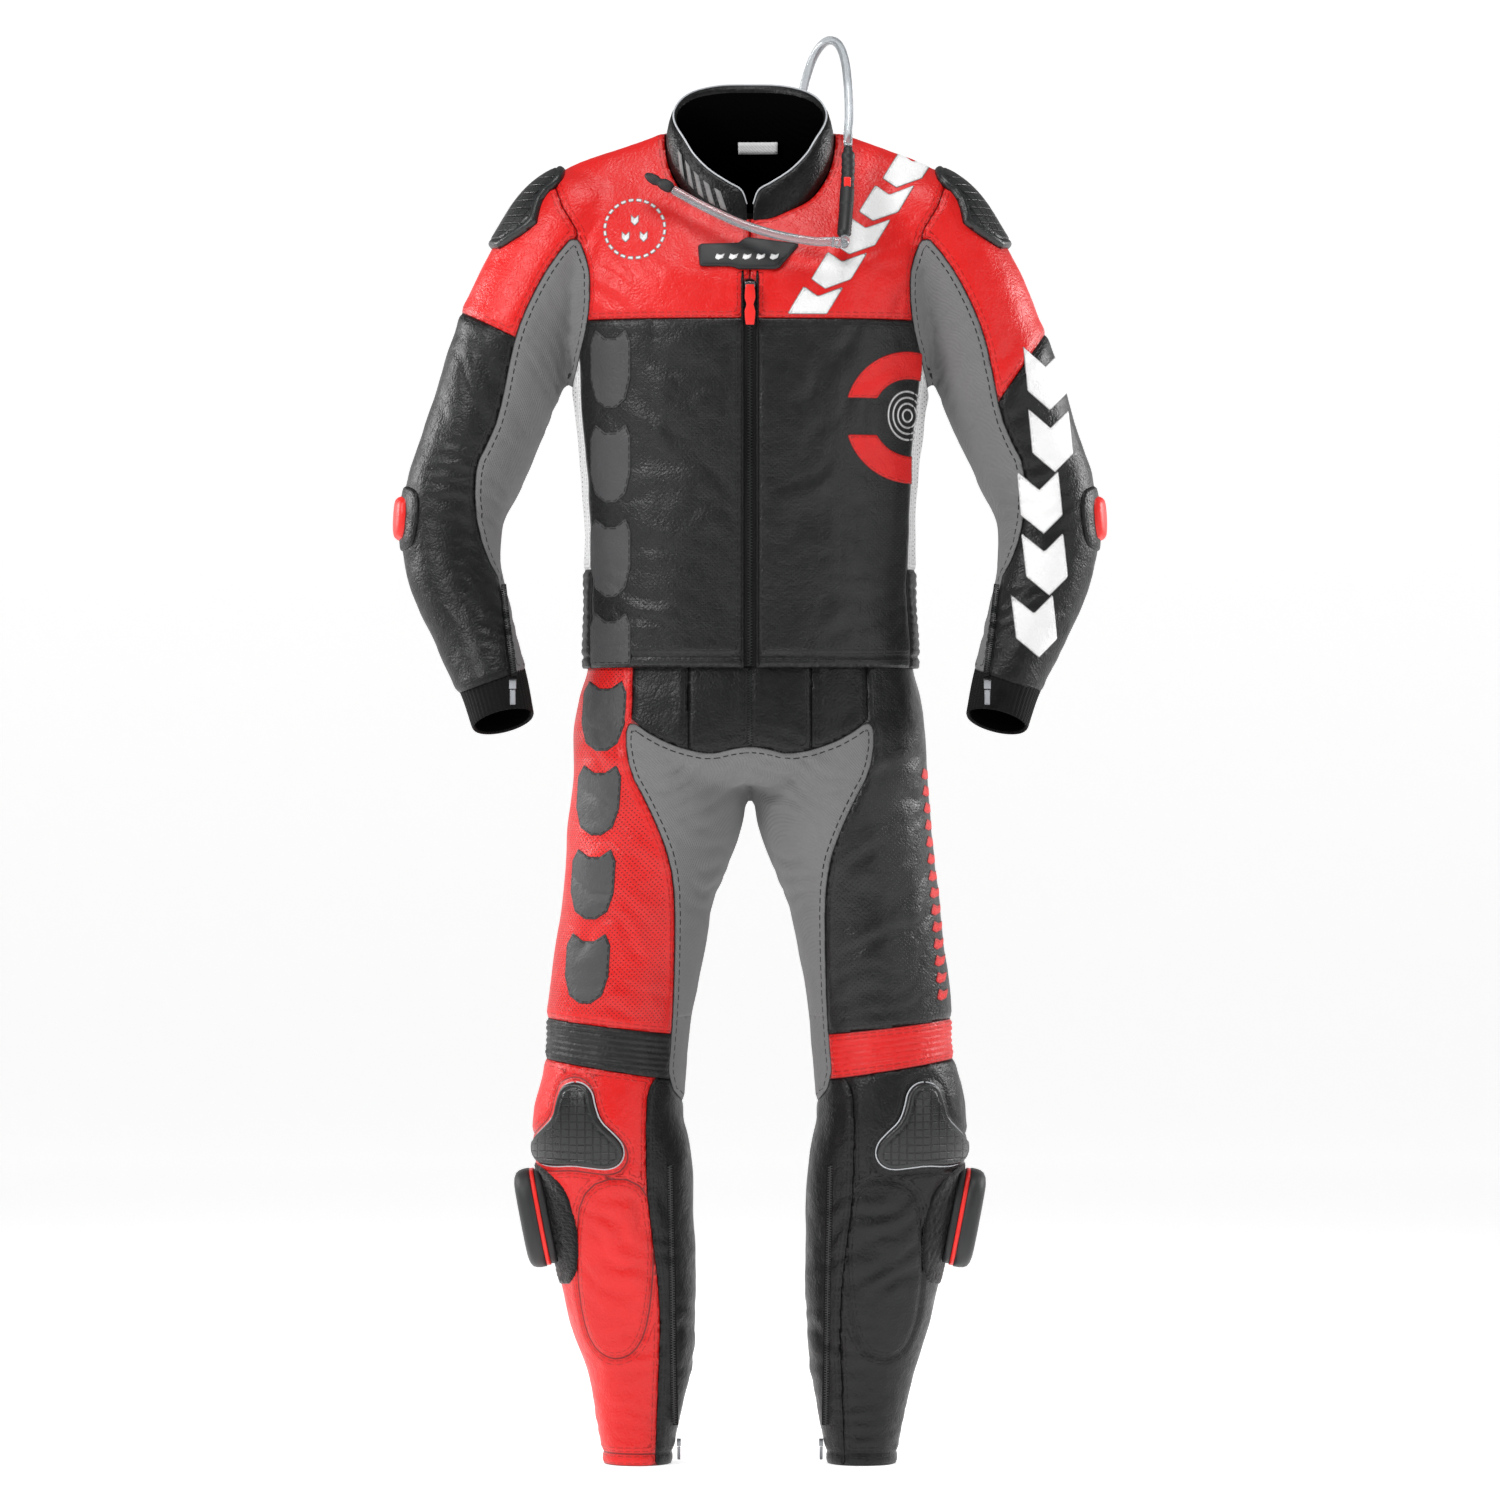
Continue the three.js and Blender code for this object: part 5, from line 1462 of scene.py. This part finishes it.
class SUIT_OT_knee_sliders(bpy.types.Operator):
    """Moulds the knee sliders with their red band"""
    bl_idname = "suit.knee_sliders"
    bl_label = "Knee sliders"

    def execute(self, context):
        m = palette()
        for word, side in SIDES:
            t = np.linspace(0, 2 * np.pi, 64, endpoint=False)
            across = abs(np.cos(t)) ** 0.62 * np.sign(np.cos(t))
            up = abs(np.sin(t)) ** 0.62 * np.sign(np.sin(t))

            def level(out, scale, drop=0.0):
                flat = np.stack([np.full(64, -out), across * 49 * scale, up * 50 * scale + drop], 1)
                c, s = math.cos(PUCK_TILT), math.sin(PUCK_TILT)
                turned = np.stack([flat[:, 0] * c - flat[:, 2] * s, flat[:, 1], flat[:, 2] * c + flat[:, 0]
                                   * s], 1)
                return (turned + (-200.5, -4, 251)) * (-side, 1, 1)

            parts = {
                "base": ([(1, 0.88), (1, 0.94), (3, 0.965), (7, 0.965), (8.5, 0.94), (8.5, 0.7)], "rubber",
                         "rubber_black"),
                "band": ([(8.0, 0.7), (8.0, 0.955), (8.6, 0.985), (12.0, 0.985), (12.6, 0.955), (12.6, 0.7)],
                         "slider_red", "slider_red"),
                "puck": ([(12.2, 0.7), (12.2, 0.97), (13.2, 1.0), (19, 1.0), (23, 0.985), (26.2, 0.95),
                          (28.4, 0.88), (29.6, 0.78), (30, 0.6), (30.2, 0.3)], "slider", "slider_black"),
            }
            for part, (levels, look, slot) in parts.items():
                bm = bmesh.new()
                loft(bm, [level(o, k) for o, k in levels])
                piece(f"knee_slider_{part}_{word}", bm, m[look], [f"knee_slider_{word}"]
                      if part == "puck" else (), body=f"knee_slider_{word}")
        return {"FINISHED"}


class SUIT_OT_appliques(bpy.types.Operator):
    """Bonds plain geometric shapes where a maker would put its marks"""
    bl_idname = "suit.appliques"
    bl_label = "Appliques and badge"

    def execute(self, context):
        m = palette()
        jacket, trousers = form("jacket")[1], form("trousers")[1]
        chest = [chevron(-139, z, 41, 88, 0.0, 0.2) for z in (1098, 1004, 910, 816)]
        applique("chest_bars", jacket, both(bars(chest, rounded=1), half(2, 803, -1)), m["patch_grey"],
                 [(-175, -140, 800), (-100, 0, 1160)])
        shoulder = [chevron(62 + 24 * k, 1160 + 35 * k, 40, 38, 0.6, 0.26) for k in range(5)]
        applique("shoulder_bars", jacket, both(bars(shoulder), half(2, 1151, -1)), m["patch_white"],
                 [(30, -140, 1148), (192, 0, 1330)])
        sleeve = [chevron(297 - 3 * k + 8 * (k % 2), 1090 - 62 * k, 42, 64, -0.1, 0.3) for k in range(5)]
        applique("sleeve_bars", jacket, both(bars(sleeve), half(1, 0, 1)), m["patch_white"],
                 [(240, -140, 770), (350, 0, 1130)], fold=elbow_fold("left", 1))
        thigh = [chevron(-146 - 5.5 * k, 752 - 84 * k, 44, 78, 0.06, 0.2) for k in range(4)]
        applique("thigh_bars", trousers, both(bars(thigh, rounded=1), half(1, 0, 1), half(2, 797, 1)),
                 m["patch_grey"], [(-200, -140, 455), (-110, 0, 805)])
        stripe = [chevron(177 + 1.2 * k, 694 - 17 * k, 10, 12.5, 0.25, 0.2) for k in range(14)]
        applique("thigh_dashes", trousers, both(bars(stripe), half(1, 0, 1)), m["patch_red"],
                 [(160, -120, 455), (210, 0, 708)], high=0.6, grid=2.0)
        halo = both(ring(160, 1050, 52, 28), beyond(1050, 18))
        applique("chest_halo", jacket, both(halo, half(1, -42, 1)), m["patch_red"],
                 [(85, -140, 975), (182, 0, 1125)])
        ovals = either(*[ring(157, 1052, r, 2.4, (0.8, 1.0)) for r in (6, 12, 18, 24)])
        applique("chest_ovals", jacket, both(ovals, half(1, -42, 1)), m["patch_white"],
                 [(125, -140, 1015), (182, 0, 1090)], high=0.6, grid=1.2)
        ticks = both(ring(-115, 1238, 30, 3.2), dashed(-115, 1238, 12))
        dots = [chevron(x, z, 8, 12, 0, 0.35) for x, z in ((-124, 1230), (-106, 1230), (-115, 1247))]
        roundel = either(ticks, bars(dots))
        applique("yoke_roundel", jacket, roundel, m["patch_white"],
                 [(-155, -140, 1196), (-75, 0, 1278)], high=0.5, grid=1.2)
        plate = swatch(form("jacket")[0], (-65, -140, 1185), (65, -50, 1240))
        shape = cut(plate, both(outline(BADGE), half(1, -20, 1)))
        finer(shape, 1.6)
        lift(shape, lambda co, away: 1.2 + 2.6 * (1 - np.exp(-away / 0.9)) + 0.25 * np.cos(co[:, 0] * 2.2)
             * np.cos(co[:, 2] * 2.2) * (away > 3))
        piece("badge_plate", shape, m["rubber"], ["neck_badge"], thick=0.002)
        marks = [chevron(-30 + 13.5 * k, 1207, 11, 10, 0.35, 0.25) for k in range(5)]
        applique("badge_bars", form("jacket")[0], both(bars(marks), half(1, -20, 1)), m["patch_white"],
                 [(-45, -140, 1198), (35, -50, 1218)], high=4.6, grid=1.6)
        return {"FINISHED"}


class SUIT_OT_hump(bpy.types.Operator):
    """Shapes the hump on the back, which covers the bladder"""
    bl_idname = "suit.hump"
    bl_label = "Back hump"

    def execute(self, context):
        m = palette()
        rows = smooth(HUMP, 8)
        t = np.linspace(0, 2 * np.pi, 72, endpoint=False)
        rings = []
        for z, half_wide, back in rows:
            x = half_wide * np.sign(np.cos(t)) * abs(np.cos(t)) ** 0.85
            ridge = 1.6 * np.exp(-((abs(x) - 24) / 3.0) ** 2) * (np.sin(t) > 0)
            y = np.maximum(HUMP_MIDDLE + (back - HUMP_MIDDLE) * np.sin(t) - ridge, np.interp(z, *HUMP_SEAT))
            rings.append(np.stack([x, y, np.full(len(t), z)], 1))
        bm = bmesh.new()
        loft(bm, rings)
        piece("hump_cover", bm, m["armour"], ["hump_shell", "hydration_bladder"])
        return {"FINISHED"}


SUPPLY = [
    (50, 82, 1352), (51, 82, 1366), (53, 81, 1382), (57, 79, 1400), (63, 75, 1418), (70, 67, 1430),
    (78, 54, 1436),
    (86, 38, 1434), (92, 22, 1425), (96, 4, 1409), (98, -13, 1389), (99, -28, 1368), (99, -40, 1350),
    (98, -48, 1336),
    (98, -53, 1322),
]
DRINK = [
    (83, -118, 1222), (76, -119, 1222), (66, -119, 1222), (52, -118, 1224), (36, -115, 1227),
    (20, -111, 1231), (4, -107, 1236),
    (-12, -102, 1242), (-27, -97, 1249), (-41, -92, 1256), (-54, -87, 1263), (-66, -82, 1270),
    (-76, -78, 1276),
]


class SUIT_OT_drinking(bpy.types.Operator):
    """Runs the drinking tubes, the connector and the bite valve"""
    bl_idname = "suit.drinking"
    bl_label = "Drinking system"

    def execute(self, context):
        m = palette()
        radius = settings().tube * 500

        def turned(name, points, radii, look, slot, nodes, body="suit", around=32):
            bm = cord_mesh(resample(smooth(points, 8), len(radii)), np.array(radii, float), around)
            return piece(name, bm, m[look], nodes, body=body)

        body = [4.4, 4.6, 4.6] + [6.4, 6.8, 6.8, 6.3] * 5 + [7.2] * 10 + [7.2, 6.0] * 9 + [5.0, 4.0]
        connector = turned("connector_body", [(98, -53.5, 1320), (98, -62, 1298), (96, -84, 1262),
                                              (93, -108, 1226)], body, "rubber", "rubber_black",
                                              ["quick_connector"])
        fitting = turned("elbow_fitting", [(94, -109, 1226), (93.5, -116, 1221), (88, -118, 1221),
                                           (81, -118, 1222)],
                         [4.6, 4.6, 5.0, 5.0, 4.6, 5.6, 5.6, 4.8, 5.6, 5.6, 4.8, 5.6, 5.2], "clear",
                         "tube_clear", ())
        low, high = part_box("release_button")
        bm = bmesh.new()
        bmesh.ops.create_cube(bm, size=1)
        bmesh.ops.scale(bm, vec=high - low, verts=bm.verts)
        bmesh.ops.bevel(bm, geom=bm.edges, offset=0.0013, offset_type="OFFSET", affect="EDGES", segments=4,
                        profile=0.5, material=-1)
        bmesh.ops.translate(bm, vec=(low + high) / 2, verts=bm.verts)
        button = piece("connector_button", bm, m["slider_red"], ["release_button"],
                       body="release_button")
        valve = turned("mouth_valve", [(-77.5, -77.5, 1277), (-84, -75, 1281), (-92, -71, 1285),
                                       (-104, -66, 1292)],
                       [4.0, 5.4, 6.0, 6.0, 6.0, 5.4, 4.2, 4.2, 5.2, 5.2, 4.9, 4.6, 3.6, 2.4], "rubber",
                       "rubber_black", ["bite_valve"], body="bite_valve")
        for name, points, node, going, end in (
            ("supply_hose", SUPPLY, "supply_tube", [connector, button, fitting], "connector"),
            ("drink_hose", DRINK, "drink_tube", [valve], "fitting"),
        ):
            line = smooth(points, 6)
            bm = cord_mesh(line, radius, 20)
            hose = piece(name, bm, m["clear"], [node])
        return {"FINISHED"}


class SUIT_OT_stage(bpy.types.Operator):
    """Sets up the camera, the soft lights and the pale floor"""
    bl_idname = "suit.stage"
    bl_label = "Stage"

    def execute(self, context):
        scene = context.scene
        scene.view_settings.view_transform = "Standard"
        view = bpy.data.cameras.new("camera")
        view.lens, view.sensor_width = 192, 36
        camera = bpy.data.objects.new("camera", view)
        camera.location = (EYE[0], EYE[1], (EYE[2] - HANGER) / 1000)
        camera.rotation_euler = (math.radians(90), 0, 0)
        scene.collection.objects.link(camera)
        scene.camera = camera
        for name, place_at, size, power in (
            ("key", (-3.0, -2.6, 1.6), 1.0, 90), ("fill", (3.2, -3.0, 0.2), 1.6, 22),
            ("top", (0, -1.1, 2.4), 1.2, 40),
            ("edge_right", (-2.2, 0.7, 0.2), 0.9, 30), ("edge_left", (2.2, 0.7, 0.2), 0.9, 36),
        ):
            lamp = bpy.data.lights.new(name, "AREA")
            lamp.size, lamp.energy = size, power
            ob = bpy.data.objects.new(name, lamp)
            ob.location = place_at
            ob.rotation_euler = (Vector((0, 0, -0.5)) - Vector(place_at)).to_track_quat("-Z", "Y").to_euler()
            scene.collection.objects.link(ob)
        world = bpy.data.worlds.new("studio")
        world.use_nodes = True
        world.node_tree.nodes["Background"].inputs["Color"].default_value = (1, 1, 1, 1)
        world.node_tree.nodes["Background"].inputs["Strength"].default_value = 0.22
        scene.world = world
        bm = bmesh.new()
        bmesh.ops.create_grid(bm, x_segments=1, y_segments=1, size=1)
        bmesh.ops.scale(bm, vec=(12, 9, 1), verts=bm.verts)
        bmesh.ops.translate(bm, vec=(0, -3, CAD_BOX[0][2] - 0.0005), verts=bm.verts)
        edge = [e for e in bm.edges if all(v.co.y > 5 for v in e.verts)]
        bmesh.ops.spin(bm, geom=edge, cent=(0, 6, CAD_BOX[0][2] + 3), axis=(1, 0, 0), angle=math.radians(90),
                       steps=24, dvec=(0, 0, 0))
        mesh = bpy.data.meshes.new("backdrop")
        bm.to_mesh(mesh)
        mesh.shade_smooth()
        floor = bpy.data.objects.new("backdrop", mesh)
        scene.collection.objects.link(floor)
        paper, tree, shader = start_material("Matt seamless paper")
        fibre = add(tree, "ShaderNodeTexNoise", {"Vector": add(tree, "ShaderNodeTexCoord").outputs["Object"],
                                                 "Scale": 900.0})
        bump = add(tree, "ShaderNodeBump", {"Height": fibre.outputs[0], "Strength": 0.05, "Distance": 0.0002})
        tree.links.new(bump.outputs[0], shader.inputs["Normal"])
        shader.inputs["Base Color"].default_value = linear("f4f4f4")
        shader.inputs["Roughness"].default_value = 0.9
        shader.inputs["Emission Color"].default_value = linear("ffffff")
        shader.inputs["Emission Strength"].default_value = 0.60  # the paper is lit from behind
        mesh.materials.append(paper)
        return {"FINISHED"}


PIECES = [SUIT_OT_stage, SUIT_OT_drinking, SUIT_OT_jacket, SUIT_OT_trousers, SUIT_OT_lining, SUIT_OT_cuffs,
          SUIT_OT_collar, SUIT_OT_zips,
          SUIT_OT_armour, SUIT_OT_knee_sliders, SUIT_OT_appliques, SUIT_OT_hump]


class SUIT_PT_panel(bpy.types.Panel):
    """Lists the suit's sizes and its pieces"""
    bl_idname = "SUIT_PT_panel"
    bl_label = "Racing suit"
    bl_space_type = "VIEW_3D"
    bl_region_type = "UI"
    bl_category = "Suit"

    def draw(self, context):
        for key in SuitSettings.__annotations__:
            self.layout.prop(context.scene.suit, key)
        for operator in PIECES:
            self.layout.operator(operator.bl_idname)


def register():
    """Adds the settings, the operators and the panel."""
    for cls in (SuitSettings, *PIECES, SUIT_PT_panel):
        bpy.utils.register_class(cls)
    bpy.types.Scene.suit = bpy.props.PointerProperty(type=SuitSettings)


def unregister():
    """Takes them out again."""
    del bpy.types.Scene.suit
    for cls in (SUIT_PT_panel, *reversed(PIECES), SuitSettings):
        bpy.utils.unregister_class(cls)


def main():
    """Builds every piece, in order."""
    register()
    for operator in PIECES:
        group, name = operator.bl_idname.split(".")
        getattr(getattr(bpy.ops, group), name)()
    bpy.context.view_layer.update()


if __name__ == "__main__":
    main()
